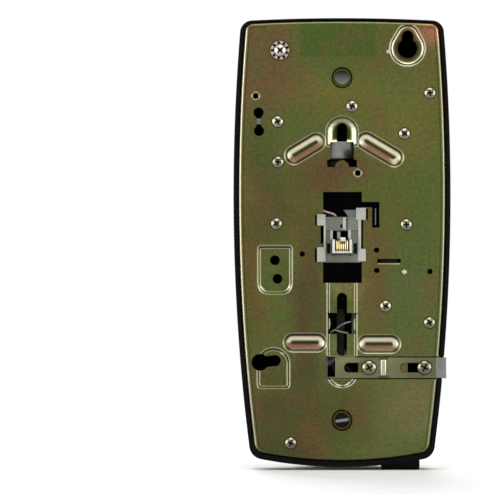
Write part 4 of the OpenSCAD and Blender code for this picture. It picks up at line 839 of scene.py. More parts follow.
def buildBaseplate():
    sideShadeInset, sideShadeShare, sideShadeFrom = plate["grease"]
    fadeFrom, fadeWidth = plate["hangerFade"]
    flatEdge, greased = plateEdge(), plateEdge(sideShadeInset)
    flat, cells = plateCells(flatEdge, greased)
    directed = {(cell[i], cell[(i + 1) % 3]): True for cell in cells for i in range(3)}
    openEdges = [(a, b) for a, b in directed if (b, a) not in directed]
    borders = dict(openEdges)
    sideShadePoints = {(round(x, 3), round(z, 3)) for x, z in greased}
    # per point of the plate: painted highlight, painted shade by the forms and along the sides, and the
    # beads' shaded brown
    depths, paintedHighlights, feet, shadedBrowns = [], [], [], []
    for x, z in flat:
        depth = crest = brown = onWall = 0
        foot = sideShadeShare if (round(x, 3), round(z, 3)) in sideShadePoints and abs(x) > sideShadeFrom else 0
        for form in plate["forms"].values():
            inside = formDepth(form, x, z)
            if inside < -0.7:
                continue
            here = pressedDepth(form, inside)
            bright, dark, shadedTan = highlightAndShade(form, x, z, inside)
            crest, foot, brown = max(crest, bright), max(foot, dark), max(brown, shadedTan)
            onWall = max(onWall, 0.1 < inside < form[4])
            if form is plate["forms"]["hanger"] and z > fadeFrom:
                edge = min(1, min(math.dist((x, z), p) for p in flatEdge) / fadeWidth)
                here *= edge * edge * (3 - 2 * edge)
            depth = max(depth, here)
        # painted highlight spots on the pressed walls
        for px, pz, reach in plate["rubbed"]:
            crest = max(crest, onWall * 1.3 * math.exp(-(math.dist((x, z), (px, pz)) / reach) ** 2))
        depths.append(-depth)
        paintedHighlights.append(min(crest, 1))
        feet.append(min(foot, 1))
        shadedBrowns.append(brown)
    count = len(flat)
    sheet, steps, lowest = plate["sheet"], plate["edgeSteps"], -plate["flangeDepth"]
    vertices = [(x, y - under, z) for under in (0, sheet) for (x, z), y in zip(flat, depths)]
    faces = [(a, c, b) for a, b, c in cells] + [(a + count, b + count, c + count) for a, b, c in cells]
    # the outer border, which turns over into the flange
    firstOuter = min(borders, key=lambda i: flat[i][1])
    outer = [firstOuter]
    while borders[outer[-1]] != firstOuter:
        outer.append(borders[outer[-1]])
    outerSet = set(outer)
    faces += [(a, b, b + count, a + count) for a, b in openEdges if a not in outerSet]
    normals = []
    for before, after in zip(outer[-1:] + outer, outer[1:] + outer[:1]):
        (x0, z0), (x1, z1) = flat[before], flat[after]
        length = math.hypot(x1 - x0, z1 - z0)
        normals.append(((z1 - z0) / length, (x0 - x1) / length))
    rings = [outer]
    low0, low1, lowDepth = plate["lowFlange"]

    def addRing(reach, level, under=0.0):
        # one ring of the bend: no point of it stands above the pressed sheet that it starts from
        start = len(vertices)
        for index, (nx, nz) in zip(outer, normals):
            x, z = flat[index]
            floor = -lowDepth if z < 0 and low0 < x < low1 else lowest
            vertices.append((x + nx * reach, max(min(level, depths[index] - under), floor), z + nz * reach))
        rings.append(list(range(start, start + len(outer))))

    def addBend(radius, under, order):
        for k in order:
            turn = rightAngle * k / steps
            addRing(radius * math.sin(turn), -under - radius * (1 - math.cos(turn)), under)
    outside, inside = plate["edgeRadius"], plate["edgeRadius"] - sheet
    addBend(outside, 0.0, range(1, steps + 1))
    addRing(outside, lowest)
    addRing(inside, lowest)
    addBend(inside, sheet, range(steps, 0, -1))
    rings.append([i + count for i in outer])
    for near, far in zip(rings, rings[1:]):
        for i in range(len(outer)):
            j = (i + 1) % len(outer)
            faces.append((near[i], near[j], far[j], far[i]))
    piece = addMesh("pressedPlate", vertices, faces)
    bendHighlight = [0.0] * (len(vertices) - count)
    allRound, plusSide, minusSide = plate["edgeHighlight"]
    for k in range(1, steps + 1):
        # the turned-over edge has a painted highlight half way round its bend, most of all at the sides,
        # which face the side lamps
        worn = math.exp(-((k / steps - 0.5) / 0.3) ** 2)
        for index, (nx, nz) in zip(rings[k], normals):
            bendHighlight[index - count] = worn * (allRound + (plusSide if nx > 0 else minusSide) * abs(nx) ** 4)
    blank = [0.0] * len(bendHighlight)
    # the painted highlight, painted shade and shaded brown go on the mesh as attributes
    for name, values in (("crest", paintedHighlights + bendHighlight), ("foot", feet + blank), ("brown", shadedBrowns + blank)):
        piece.data.attributes.new(name, "FLOAT", "POINT").data.foreach_set("value", values)
    print("baseplate pressed:", len(piece.data.polygons), "faces")
    dress(piece, "chromated_plate", "baseplate", 38)


buildBaseplate()


# pieces whose pressed or moulded edges are rounded

roundedNodes = {
    # edge radius in mm and steps: nodes
    (0.15, 1): ["network_board", "switch_stack", "keypad_plate"], (0.15, 2): ["stud_spring"],
    (0.2, 1): ["board_spacers", "ringer_frame", "ringer_coil", "clapper", "switch_frame", "handset_screws"],
    (0.2, 2): ["latch_lever"], (0.25, 1): ["gong_nut"], (0.25, 2): ["lever_pin", "cord_jack", "handset_jack"],
    (0.3, 1): ["receiver", "transmitter"],
    (0.3, 2): [node for node in frame["nodes"] if node.startswith("key_")],
    (0.35, 2): ["network_parts"], (0.4, 2): ["lead_clamp", "gong", "hook_plunger"], (0.6, 3): ["cradle_tab"],
}


def roundedCopy(node, width, steps):
    piece = frame["nodes"][node].copy()
    piece.data = piece.data.copy()
    piece.parent = None
    for key in list(piece.keys()):
        del piece[key]
    bpy.context.scene.collection.objects.link(piece)
    piece.name = node + "Rounded"
    editMesh(piece, bpy.ops.mesh.remove_doubles, threshold=0.000002)
    roundEdges(piece, width, steps, 30, True)
    # the spring's finish has painted shade below a height
    dress(piece, "spring_steel" if node == "stud_spring" else slotByNode[node], node)


for edge, nodes in roundedNodes.items():
    for node in nodes:
        roundedCopy(node, *edge)
print("rounded", sum(len(nodes) for nodes in roundedNodes.values()), "pieces")


# the housing, moulded in one piece: sizes in mm, levels counted forward from the wall

housing = {
    "wall": 2.0, "depth": 44, "draft": 1.0, "frontRound": 16, "backEdge": 0.5, "grooveDepth": 6.5,
    "troughHalf": 30, "troughLevel": 28, "troughCorner": 5, "troughWall": 2.4, "edge": 0.9,
    "cups": [(0, 66.21), (0, -101.7)], "bossRadius": 4.5, "screwHole": 1.5, "cupLevel": 4.2,
    # ribs at both sides: Z of each, X, half length and half thickness, levels
    "ribs": [62, 4, -56], "ribPlace": 51.5, "ribHalf": (4.5, 1), "ribLevels": (-25.6, -6.1),
    "cordBoss": ((-38.2, -21.8, -125.9), (-19.6, -5.0, -116.9)),
    "cuts": [((-35.5, -19.5, -124.4), (-22.3, -7.3, -111.4)), ((-33.4, -17.4, -126.9), (-24.4, -9.4, -123.9)),
             ((-54, -3.2, -81.65), (-44, 1, -70.15))],
    # holes through the floor of the trough for the plunger and the pegs of the tab: place, radius, sides
    "floorHoles": [((-20.0, 56.0), 4.3, 40), ((5, 36.9), 2.0, 24), ((-5, 36.9), 2.0, 24)],
    "floorLevels": (-34, -25.5), "screwLevels": (-25.7, 0), "toolReach": 60,
    # recess for the number card: half sizes, Z, depth, corner radius
    "card": (18.2, 22.2, -28, 1.3, 2.2),
}


def bodyRing(inset, level, rise=0.0, top=0.0):
    return [(x, level, z + rise) for x, z in bodyOutline(inset, 1.2 * inset, top)]


def lipRings(ring, edge, level):
    # a rounded lip, from the end of a moulding to its side
    turns = [k * math.pi / 8 for k in range(5)]
    return [ring(edge * (1 - math.sin(turn)), level - edge * (1 - math.cos(turn))) for turn in turns]


def troughTool(grow):
    half, level = housing["troughHalf"] + grow, -housing["troughLevel"] + grow
    radius = housing["troughCorner"] + grow
    profile = [(-half, -90), (half, -90)]
    profile += arcPoints((half - radius, level - radius), radius, 0, rightAngle, 0.8)
    profile += arcPoints((radius - half, level - radius), radius, rightAngle, math.pi, 0.8)
    return loft("troughTool", [[(x, y, z) for x, y in profile] for z in (-150, 120)])


def frontRings(thick, fineness=20):
    # rings of the rounded front, from the straight side to the flat face
    bend, rings = housing["frontRound"], []
    for k in range(fineness + 1):
        turn = rightAngle * k / fineness
        inset = thick + housing["draft"] + bend * (1 - math.cos(turn))
        rings.append(bodyRing(inset, -(housing["depth"] - bend - thick) - bend * math.sin(turn)))
    return rings


def buildHousing():
    wall, rise, top = housing["wall"], plate["rise"], plate["topReach"]
    shell = loft("housingShell", lipRings(bodyRing, housing["backEdge"], 0) + frontRings(0))
    cutWith(shell, troughTool(0))
    roundEdges(shell, housing["edge"], 4, 40)
    uniteWith(shell, roundedBars([housing["cordBoss"]], 0.6, "cordBoss"))
    room = loft("housingRoom", [bodyRing(wall, level, rise, top) for level in (1, -housing["grooveDepth"])]
                + frontRings(wall, 10))
    kept = [troughTool(housing["troughWall"])]
    kept += [addRound("boss", housing["bossRadius"], -housing["toolReach"], -housing["cupLevel"], at, 40)
             for at in housing["cups"]]
    ribX, (ribLong, ribThick), (low, high) = housing["ribPlace"], housing["ribHalf"], housing["ribLevels"]
    kept += [addBar((x - ribLong, low, z - ribThick), (x + ribLong, high, z + ribThick))
             for z in housing["ribs"] for x in (-ribX, ribX)]
    cutWith(room, *kept)
    cutWith(shell, room)
    tools = [addBar(*size) for size in housing["cuts"]]
    tools += [addRound("screwHole", housing["screwHole"], *housing["screwLevels"], at, 24)
              for at in housing["cups"]]
    tools += [addRound("floorHole", radius, *housing["floorLevels"], at, sides)
              for at, radius, sides in housing["floorHoles"]]
    halfX, halfZ, z, recess, corner = housing["card"]
    level = -housing["troughLevel"]
    card = ringAt(("box", (-halfX, halfX, z - halfZ, z + halfZ), (corner, corner)), 0)
    tools.append(loft("cardRoom", [[(px, y, pz) for px, pz in card] for y in (level - 1, level + recess)]))
    cutWith(shell, *tools)
    print("housing moulded:", len(shell.data.polygons), "faces")
    dress(shell, "black_housing", "housing", 32)


buildHousing()


# the sliding carrier and the plug in it, sizes in mm

carrier = {
    "body": ((-9.3, -12, -24.2), (8.9, 0.3, 1.5)),
    # raised ends of its face, and the ribs at its sides
    "added": [((-9.0, -0.2, -8.4), (8.6, 1.1, -2.1)), ((-9.0, -0.2, -24.2), (8.6, 0.9, -20.8)),
              ((-11.5, -3.2, -2.5), (11.1, -1.6, 0.5)), ((-11.5, -3.2, -23.2), (11.1, -1.6, -20.2))],
    # room for the plug and its post, wells beside the nose, small holes of the latch
    "openings": [((-2.9, -13, -13.4), (4.5, 3, -8.8)), ((-5.1, -10, -20.2), (5.1, 3, -12.9)),
                 ((5.6, -10.5, -20.0), (7.4, 3, -14.9)), ((-7.3, -10.5, -20.0), (-5.6, 3, -14.9)),
                 ((-0.2, -9, -7.3), (0.9, 3, -5.6)), ((-2.9, 0.3, -7.8), (-2.0, 3, -2.5)),
                 ((3.2, 0.0, -21.1), (4.8, 3, -20.0)), ((-4.8, 0.0, -21.1), (-3.2, 3, -20.0))],
    "leadNotch": [(9.2, -2.05), (-2.9, -2.05), (-2.9, -1.5), (-0.9, 1.2), (-0.9, 2.5), (9.2, 2.5)],
    # tabs, rails along the sides and beside the opening, the spring of the latch
    "rails": [((8.1, 0.3, -6.2), (12.2, 1.3, -0.7)), ((8.1, 0.3, -24.0), (12.2, 1.3, -16.8)),
              ((-11.6, 0.3, -3.4), (-6.9, 1.3, 2.5)), ((-11.6, 0.3, -23.7), (-7.8, 1.3, -17.6)),
              ((8.0, 0.1, -17.0), (8.95, 1.25, -6.0)), ((-9.3, 0.1, -17.8), (-7.9, 1.25, -3.2)),
              ((4.6, 0.1, -13.1), (5.7, 0.9, -8.3)), ((-4.3, 0.1, -13.1), (-3.1, 0.9, -8.3)),
              ((-1.8, 0.9, -8.2), (-0.4, 1.35, -2.3))],
    "edge": 0.25,
}
plug = {
    # side walls, floor, post above the nose, release arm
    "shell": [((3.55, -9.9, -19.75), (4.83, 5.5, -13.05)), ((-4.83, -9.9, -19.75), (-3.55, 5.5, -13.05)),
              ((-4.7, -9.9, -19.75), (4.7, 4.9, -18.8)), ((0.8, -9.9, -13.2), (2.4, -1.8, -9.0)),
              ((-1.7, -3.0, -13.9), (0.9, 3.9, -12.0))],
    "back": ((-3.7, -9.9, -19.3), (3.7, 0.9, -12.95)), "edge": 0.2,
    # blades: their count, pitch and half width, the level of their feet, Z and level along their faces
    "blades": 6, "pitch": 1.02, "bladeHalf": 0.29, "feet": 0.8,
    "faces": [(-19.0, 4.5), (-17.6, 4.5), (-14.7, 2.7), (-13.5, 1.9)],
}


def buildCarrier():
    body = addBar(*carrier["body"], "carrierBody")
    uniteWith(body, *[addBar(*size) for size in carrier["added"]])
    notch = loft("leadNotch", [[(x, y, z) for x, z in carrier["leadNotch"]] for y in (-13, 3)])
    cutWith(body, notch, *[addBar(*size) for size in carrier["openings"]])
    roundEdges(body, 0.15, 2, 40)
    dress(body, "grey_plastic", "plug_carrier", 35)
    rails = roundedBars(carrier["rails"], carrier["edge"], "carrierTabsAndRails")
    dress(rails, "rubbed_plastic", "plug_carrier", 40)


def buildPlug():
    dress(roundedBars(plug["shell"], plug["edge"], "plugShell"), "clear_plastic", "wall_plug", 40)
    dress(roundEdges(addBar(*plug["back"], "plugBack"), 0.1), "grime", "wall_plug")
    blades = []
    for i in range(plug["blades"]):
        middle, feet = (i - (plug["blades"] - 1) / 2) * plug["pitch"], plug["feet"]
        left, right = middle - plug["bladeHalf"], middle + plug["bladeHalf"]
        # each blade rises towards the mouth of the plug
        blade = loft("blade", [[(left, feet, z), (right, feet, z), (right, face, z), (left, face, z)]
                               for z, face in plug["faces"]])
        blades.append(roundEdges(blade, 0.08))
    dress(joinPieces(blades, "plugBlades"), "gold_contact", "plug_contacts", 40)


buildCarrier()
buildPlug()
print("carrier and plug built")


# the handset: sizes in mm, levels counted forward from the wall

handset = {
    "width": 55, "length": 212, "corner": 14, "middle": -14.5, "split": 38.3, "face": 36.3, "straight": 8,
    "front": 60, "round": 11, "lip": 0.4, "wall": 2.2, "cupTop": 28.3, "cupNarrows": (5, 4), "cupEdge": 1.4,
    "cupInset": 0.15, "cupSink": 0.6, "cups": [(66.5, 50), (-99.5, 42)],
    "soundRing": 5, "soundHole": 1.1, "soundLevels": (-32, -28),
    "mouth": ((-4.5, -48.3, -121.5), (4.5, -38.9, -117.3)),
    # the two screws: their places, bosses, holes in the back and in the face, and sunk heads
    "screws": [(0, 36.5), (0, -73.5)], "bossRadius": 3.5, "bossReach": 70, "backHole": 1.4, "backDepth": 9,
    "faceHole": 1.6, "sinkRadius": 3, "sinkDepth": 0.8,
}


def roundRect(width, height, corner, level, middle, steps=9):
    ring = []
    for quarter, (sx, sz) in enumerate(((1, 1), (-1, 1), (-1, -1), (1, -1))):
        centre = (sx * (width / 2 - corner), middle + sz * (height / 2 - corner))
        ring += [onCircle(centre, corner, (quarter + k / steps) * rightAngle) for k in range(steps + 1)]
    return [(x, level, z) for x, z in ring]


def handsetRing(inset, level, cornerLoss=0.0):
    return roundRect(handset["width"] - 2 * inset, handset["length"] - 2 * inset,
                     handset["corner"] - cornerLoss, level, handset["middle"])


def handsetBow(thick, fineness=16):
    rings = []
    start = -handset["split"] - handset["straight"]
    for k in range(fineness + 1):
        turn = rightAngle * k / fineness
        inset = handset["round"] * (1 - math.cos(turn))
        level = start + thick - (handset["front"] + start) * math.sin(turn)
        rings.append(handsetRing(thick + inset, level, thick + 0.4 * inset))
    return rings


def buildHandsetShell():
    split, wall = -handset["split"], handset["wall"]
    shell = loft("handsetBack", lipRings(handsetRing, handset["lip"], split) + handsetBow(0))
    room = loft("handsetRoom", [handsetRing(wall, split + 1, wall)] + handsetBow(wall, 8))
    cutWith(room, *[addRound("boss", handset["bossRadius"], -handset["bossReach"], split, at)
                    for at in handset["screws"]])
    cutWith(shell, room, addBar(*handset["mouth"]))
    cutWith(shell, *[addRound("hole", handset["backHole"], split - handset["backDepth"], split + 1, at, 24)
                     for at in handset["screws"]])
    dress(shell, "black_handset", "handset_shell", 32)


def cupRings(length, middle, grow=0.0):
    # a cup widens from its top down to the face
    narrowX, narrowZ = handset["cupNarrows"]
    rise, edge = handset["face"] - handset["cupTop"], handset["cupEdge"]

    def ringFor(depth, inset):
        share = 1 - depth / rise
        return roundRect(handset["width"] - narrowX * share - 2 * inset, length - narrowZ * share - 2 * inset,
                         handset["corner"] - share - inset, -handset["cupTop"] - grow - depth, middle)
    if grow:
        return [ringFor(0, grow), ringFor(rise + 3, grow)]
    turns, inset = [rightAngle * k / 6 for k in range(7)], handset["cupInset"]
    rings = [ringFor(edge * (1 - math.cos(turn)), edge * (1 - math.sin(turn)) + inset) for turn in turns]
    return rings + [ringFor(rise, inset), ringFor(rise + handset["cupSink"], inset)]


def buildHandsetFace():
    face, split = -handset["face"], -handset["split"]
    piece = loft("handsetFace", lipRings(handsetRing, handset["lip"], face)
                 + [handsetRing(0, split + 0.2), handsetRing(0.2, split)])
    uniteWith(piece, *[loft("cup", cupRings(length, z)) for z, length in handset["cups"]])
    cutWith(piece, *[loft("cupRoom", cupRings(length, z, handset["wall"])) for z, length in handset["cups"]])
    low, high = [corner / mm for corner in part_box("keypad_plate")]
    tools = [addBar((low.x + 1, split - 1, low.z + 1), (high.x - 1, face + 1, high.z - 1))]
    for at in handset["screws"]:
        tools.append(addRound("hole", handset["faceHole"], split - 1, face + 1, at, 28))
        tools.append(addRound("sink", handset["sinkRadius"], face - handset["sinkDepth"], face + 1, at))
    for z, length in handset["cups"]:
        places = [onCircle((0, z), handset["soundRing"], k * math.pi / 3) for k in range(6)] + [(0, z)]
        tools += [addRound("soundHole", handset["soundHole"], *handset["soundLevels"], at, 20)
                  for at in places]
    cutWith(piece, *tools)
    dress(piece, "black_handset", "handset_face", 32)


buildHandsetShell()
buildHandsetFace()
print("handset moulded")


# screw heads and small trim on the baseplate: sizes in mm

panScrews = {
    # places: X and Z of each head, and the turn of its recess
    "plate": {"places": [((31.6, 44.8), 20), ((-4.9, 52.3), 65), ((-43.1, 58.8), 10), ((-30.6, 38.9), 48),
                         ((31.4, 25.0), 80), ((32.2, -5.3), 33), ((-31.5, -5.7), 5), ((-21.4, -45.7), 58),
                         ((-42.9, -53.8), 25), ((25.2, -112.8), 72)],
              "radius": 2.75, "level": 0.0, "height": 1.15, "shank": 1.7, "shankEnd": -3.4},
    "lock": {"places": [((-13.3, -75.9), 30), ((-40.5, -75.9), 62)],
             "radius": 3.3, "level": -1.0, "height": 1.1, "shank": 2.0, "shankEnd": -6.0},
    "earth": {"places": [((30.4, 79.7), 45)],
              "radius": 2.9, "level": 0.7, "height": 1.3, "shank": 1.7, "shankEnd": -5.0},
    # reach of the recess as a share of the head's radius, its width and depth, width of the painted shade
    # round a head
    "recess": 1.75 / 2.95, "slot": 0.9, "recessDepth": 0.85, "ring": 0.42,
}


def crossBars(size, turn, low, high, slack=0.0):
    arm, half = size["radius"] * panScrews["recess"] - slack, panScrews["slot"] / 2 - slack
    return [addBar((-arm, low, -half), (arm, high, half), "cross", turn + quarter) for quarter in (0, 90)]


def addHeads(kind):
    # domed heads with a cross recess, on their shanks
    size, heads = panScrews[kind], []
    radius, height, level = size["radius"], size["height"], size["level"]
    ball, top = (radius * radius + height * height) / (2 * height), level + height
    for at, turn in size["places"]:
        head = addPrimitive("head", bpy.ops.mesh.primitive_uv_sphere_add, segments=40, ring_count=40,
                            radius=ball * mm, location=(0, (top - ball) * mm, 0),
                            rotation=(-rightAngle, 0, 0))
        editMesh(head, bpy.ops.mesh.bisect, plane_co=(0, level * mm, 0), plane_no=(0, 1, 0), use_fill=True,
                 clear_inner=True)
        cutWith(head, *crossBars(size, turn, top - panScrews["recessDepth"], top + 1))
        stem = addRound("stem", size["shank"], size["shankEnd"], level + 0.2, sides=20)
        heads.append(settle(joinPieces([head, stem], "screw"), at))
    return heads


def addRecessShade(kind):
    # painted shade: dark pieces in the screws' recesses and round their heads, where shade falls
    size, grime = panScrews[kind], []
    radius, level = size["radius"] + panScrews["ring"], size["level"]
    low = level + size["height"] - panScrews["recessDepth"]
    for at, turn in size["places"]:
        parts = crossBars(size, turn, low - 0.02, low + 0.2, 0.04)
        parts.append(addRound("ring", radius, level - 0.1, level + 0.04, sides=40, topRadius=radius - 0.1))
        grime.append(settle(joinPieces(parts, "grime"), at))
    return grime


dress(joinPieces(addHeads("plate"), "plateScrewHeads"), "screw_steel", "plate_screws", 35)
dress(joinPieces(addHeads("lock"), "lockScrewHeads"), "screw_steel", "lock_screws", 35)
# painted shade in the screws' recesses and round their heads
dress(joinPieces(addRecessShade("plate") + addRecessShade("lock"), "screwGrime"), "grime", slotName="dark_steel")

lockSlide = {
    # corners of the strip and of the tab at its end, which is bare of film
    "strip": ((-46.3, -2.4, -81.05), (3.3, -1.2, -70.75)),
    "tab": ((-51.17, -2.4, -81.05), (-46.27, -1.2, -70.75)),
    "middle": -75.9, "slots": [(-13.3, -3.4), (-40.5, -30.6)], "slotRadius": 2.4,
    "fold": ((-21.7, -2.3, -80.0), (-18.9, -0.7, -71.8)), "notch": (-22.9, -17.7), "notchDepth": 0.9,
    "pin": (1.2, 1.2, -6.0),
}


def addCapsule(x0, x1, z, radius, low, high):
    # a cylinder along Y whose right half is drawn out to the side
    piece = addRound("slot", radius, low, high, (x0, z), 36)
    for vertex in piece.data.vertices:
        if vertex.co.x > x0 * mm + 0.000001:
            vertex.co.x += (x1 - x0) * mm
    return piece


def buildLockSlide():
    strip, z = addBar(*lockSlide["strip"], "lockStrip"), lockSlide["middle"]
    cutters = [addCapsule(x0, x1, z, lockSlide["slotRadius"], -4, 0) for x0, x1 in lockSlide["slots"]]
    (x0, x1), deep = lockSlide["notch"], lockSlide["notchDepth"]
    for corner in lockSlide["strip"]:
        cutters.append(addBar((x0, -4, corner[2] - deep), (x1, 0, corner[2] + deep)))
    cutWith(strip, *cutters)
    roundEdges(strip, 0.22, 3, 40, True)
    radius, x, end = lockSlide["pin"]
    pin = addRound("pin", radius, end, -2.3, (x, z), 24)
    dress(joinPieces([strip, pin], "lockSlideStrip"), "lock_steel", "lock_slide", 50)
    fold = roundEdges(addBar(*lockSlide["fold"], "fold"), 0.7, 5, 40)
    dress(fold, "pale_zinc", "lock_slide", 50)
    dress(roundedBars([lockSlide["tab"]], 0.25, "lockTab"), "bare_steel", "lock_slide", 40)


buildLockSlide()

cupScrews = {
    # place and finish; the upper head's finish is darkened towards its top by painted shade
    "upper": ((0, 66.2056), "cup_steel"), "lower": ((0, -101.7), "dark_steel"),
    "radius": 3.6, "headHeight": 2.0, "shank": 1.5, "shankEnd": -14,
    "slotHalf": 0.75, "slotDepth": 0.8, "slotTurn": 8,
    # a bright bar in the slot, which gives the dark head a light band across it: half length, slack at its
    # sides, how far it is sunk in and lies below the top
    "filling": (3.2, 0.04, 0.02, 0.1),
}


def buildCupScrews():
    low = -plate["forms"]["upperCup"][3] + 0.02
    top, half, turn = low + cupScrews["headHeight"], cupScrews["slotHalf"], cupScrews["slotTurn"]
    slotFloor = top - cupScrews["slotDepth"]
    for name in ("upper", "lower"):
        at, finish = cupScrews[name]
        head = roundEdges(addRound("head", cupScrews["radius"], low, top, sides=48), 0.7, 4, 40)
        if name == "lower":
            cutWith(head, addBar((-5, slotFloor, -half), (5, top + 1, half), "slot", turn))
        stem = addRound("stem", cupScrews["shank"], cupScrews["shankEnd"], low + 0.2, sides=20)
        dress(settle(joinPieces([head, stem], name + "CupScrew"), at), finish, "housing_screws", 40)
    reach, slack, sunk, below = cupScrews["filling"]
    filling = addBar((-reach, slotFloor - sunk, slack - half), (reach, top - below, half - slack),
                     "slotBandBar", turn)
    dress(settle(filling, cupScrews["lower"][0]), "bright_steel", slotName="bright_steel")


buildCupScrews()

# the last figure is the width of the painted shade round the washer
earth = {"washer": 4.9, "underside": 0.05, "topShare": 0.94, "hole": 1.75, "teeth": 9, "tooth": 0.72,
         "toothInset": 1.05, "grime": 0.25}


def buildEarthScrew():
    # its screw's head sits on top of the washer
    at, thick = panScrews["earth"]["places"][0][0], panScrews["earth"]["level"]
    radius = earth["washer"]
    washer = addRound("earthWasher", radius, earth["underside"], thick, sides=60,
                      topRadius=radius * earth["topShare"])
    for i in range(earth["teeth"]):
        tooth = onCircle((0, 0), radius - earth["toothInset"], 2 * math.pi * i / earth["teeth"])
        cutWith(washer, addRound("notch", earth["tooth"], -1, 2, tooth, 12))
    cutWith(washer, addRound("bore", earth["hole"], -1, 2))
    piece = joinPieces([settle(washer, at)] + addHeads("earth"), "earthScrewAndWasher")
    dress(piece, "pale_zinc", "earth_screw", 30)
    # painted shade: a dark disc round the washer's foot, and dark pieces in the recess
    under = addRound("under", radius + earth["grime"], -0.1, 0.04, at, 48)
    dress(joinPieces(addRecessShade("earth") + [under], "earthGrime"), "grime", slotName="dark_steel")


buildEarthScrew()


def wireAlong(name, route, radius):
    line = bpy.data.curves.new(name, "CURVE")
    line.dimensions = "3D"
    line.bevel_depth = radius * mm
    line.bevel_resolution = 3
    line.use_fill_caps = True
    spline = line.splines.new("POLY")
    spline.points.add(len(route) - 1)
    for point, place in zip(spline.points, route):
        point.co = (*[v * mm for v in place], 1)
    return asMesh(addObject(name, line), 60)


def asMesh(piece, degrees=None):
    selectOnly(piece)
    bpy.ops.object.convert(target="MESH")
    piece = bpy.context.active_object
    if degrees:
        smoothByAngle(piece, degrees)
    return piece


trim = {
    "eyelets": [(42.3, 57.3), (-7.7, 19.5)], "eyeletRadius": 1.85, "eyeletWire": 0.42,
    "domes": [((-22.7, 79.0), 1.3), ((-30.6, -29.0), 1.5)], "domeLevels": (-0.8, 0.45), "domeTop": 0.7,
    # lanced slot: the strip left in it and the lip below it; links left in the two other slots
    "bars": [("strip", ((-26.9, -1.3, -24.2), (-19.1, -0.5, -22.8)), "dark_steel"),
             ("lip", ((-28.4, -0.5, -25.3), (-17.6, 0.14, -24.75)), "gold_contact"),
             ("sideLink", ((-16.7, -1.3, -6.0), (-16.1, -0.7, 2.2)), "dull_steel"),
             ("slotLink", ((38.9, -1.6, 43.4), (42.7, -0.5, 46.3)), "dull_steel")],
    # wire that returns the lever: its runs, as X, Y, Z of their points
    "wire": [[(5.6, -2.6, -58.6), (3.6, -2.4, -57.4), (0.4, -2.2, -58.4), (-3.0, -2.4, -59.0)],
             [(2.4, -2.3, -56.6), (0.4, -2.0, -55.0), (-1.6, -2.2, -54.0), (-4.4, -2.8, -53.4)]],
    "wireRadius": 0.55, "rivet": ((-29.7, -75.9), 1.0, -3.6, -2.45),
}


def buildTrim():
    for i, (x, z) in enumerate(trim["eyelets"]):
        ring = addPrimitive("eyelet" + str(i + 1), bpy.ops.mesh.primitive_torus_add, (1, 1, 0.6),
                            major_radius=trim["eyeletRadius"] * mm, minor_radius=trim["eyeletWire"] * mm,
                            major_segments=36, minor_segments=10, location=(x * mm, 0, z * mm),
                            rotation=(rightAngle, 0, 0))
        dress(ring, "chromated_steel", None, 60, "chromated_steel")
    for i, (at, radius) in enumerate(trim["domes"]):
        dome = addRound("dome" + str(i + 1), radius, *trim["domeLevels"], at, 28, radius * trim["domeTop"])
        dress(roundEdges(dome, 0.22, 3, 25), "pale_zinc", None, 50, "chromated_steel")
    for name, size, finish in trim["bars"]:
        dress(roundedBars([size], 0.12, name), finish, None, 40, "chromated_steel")
    wires = [wireAlong("returnWire", run, trim["wireRadius"]) for run in trim["wire"]]
    dress(joinPieces(wires, "returnWire"), "dull_steel", slotName="bright_steel")
    at, radius, low, high = trim["rivet"]
    rivet = roundEdges(addRound("stopRivet", radius, low, high, at, 24, radius * 0.8), 0.2, 3, 25)
    dress(rivet, "red_brown", slotName="chromated_steel")


buildTrim()
print("screws and trim built")


# leads of the plug, in mm

leads = {
    "starts": [3.0, 4.6, 6.2, 7.8], "ends": [7.4, 5.4, 3.4, 1.4], "firstDepth": -4.4, "pitch": 1.15,
    "lift": 0.85, "radius": 0.55, "clampDepth": -9.0, "clampEdge": 13.9,
    "colours": [("BFA39E", "DCC8C3"), ("7A3A34", "A65E54"), ("2A2624", "453E3A"), ("9C5A35", "C58455")],
}


def bezierPoint(a, b, c, d, t):
    s = 1 - t
    return [s ** 3 * p + 3 * s * s * t * q + 3 * s * t * t * r + t ** 3 * w for p, q, r, w in zip(a, b, c, d)]


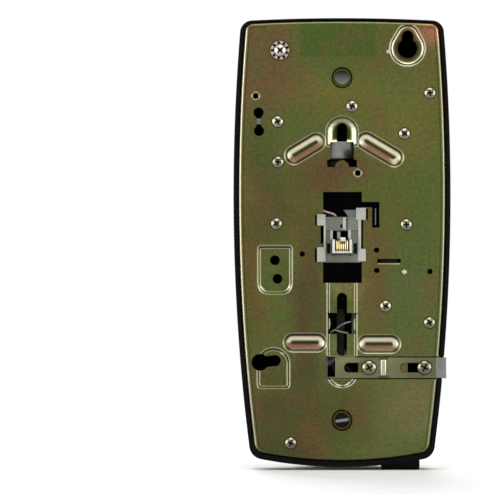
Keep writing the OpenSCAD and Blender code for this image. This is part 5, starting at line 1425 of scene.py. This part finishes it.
def buildLeads():
    for i, (x, endX) in enumerate(zip(leads["starts"], leads["ends"])):
        y, lift, deep = leads["firstDepth"] - i * leads["pitch"], leads["lift"] * i, leads["clampDepth"]
        # out of the carrier, round beside it, then up to the clamp
        turn, end = (12, y, 3 + lift), (endX, deep, leads["clampEdge"])
        route = [bezierPoint((x, y, -1.8), (x, y, 0.4), (9, y, -0.4), turn, k / 10) for k in range(10)]
        route += [bezierPoint(turn, (14.4, y, 5.8 + lift), (12.4, deep, 11.8), end, k / 12)
                  for k in range(13)]
        lead = wireAlong("lead" + str(i + 1), route, leads["radius"])
        cover = mouldedPlastic("leadCover" + str(i + 1), *leads["colours"][i], 0.35, 2400)
        lead.data.materials.clear()
        lead.data.materials.append(cover)
        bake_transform(lead)
        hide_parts("plug_leads")


buildLeads()
print("leads built")


# figures on the keys, in mm

legends = {
    "marks": {"1": "", "2": "ABC", "3": "DEF", "4": "GHI", "5": "JKL", "6": "MNO", "7": "PRS", "8": "TUV",
              "9": "WXY", "star": "", "0": "", "square": ""},
    "signs": {"star": "*", "square": "#"}, "figure": 5.0, "letters": 2.1, "thick": 0.05,
    # how far the figure and the letters stand from the middle of a key that has both
    "figureShift": -0.8, "lettersShift": 2.9,
}


def addText(words, size, centre, name):
    line = bpy.data.curves.new(name, "FONT")
    line.body = words
    line.size = size * mm
    line.align_x = "CENTER"
    line.align_y = "CENTER"
    line.extrude = legends["thick"] * mm / 2
    text = addObject(name, line)
    text.location = centre
    text.rotation_euler = (rightAngle, 0, math.pi)
    return settle(asMesh(text))


def buildKeys():
    for key, letters in legends["marks"].items():
        node, name = "key_" + key, "figure" + key
        low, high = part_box(node)
        middle = (low + high) / 2
        top = high.y + legends["thick"] * mm / 2
        rows = [(legends["signs"].get(key, key), "figure", legends["figureShift"] if letters else 0)]
        if letters:
            rows.append((letters, "letters", legends["lettersShift"]))
        parts = [addText(words, legends[size], (middle.x, top, middle.z + shift * mm), name)
                 for words, size, shift in rows]
        dress(joinPieces(parts, name), "key_ink", slotName="key_plastic", body=bodyOf[node])


buildKeys()
print("keys marked")
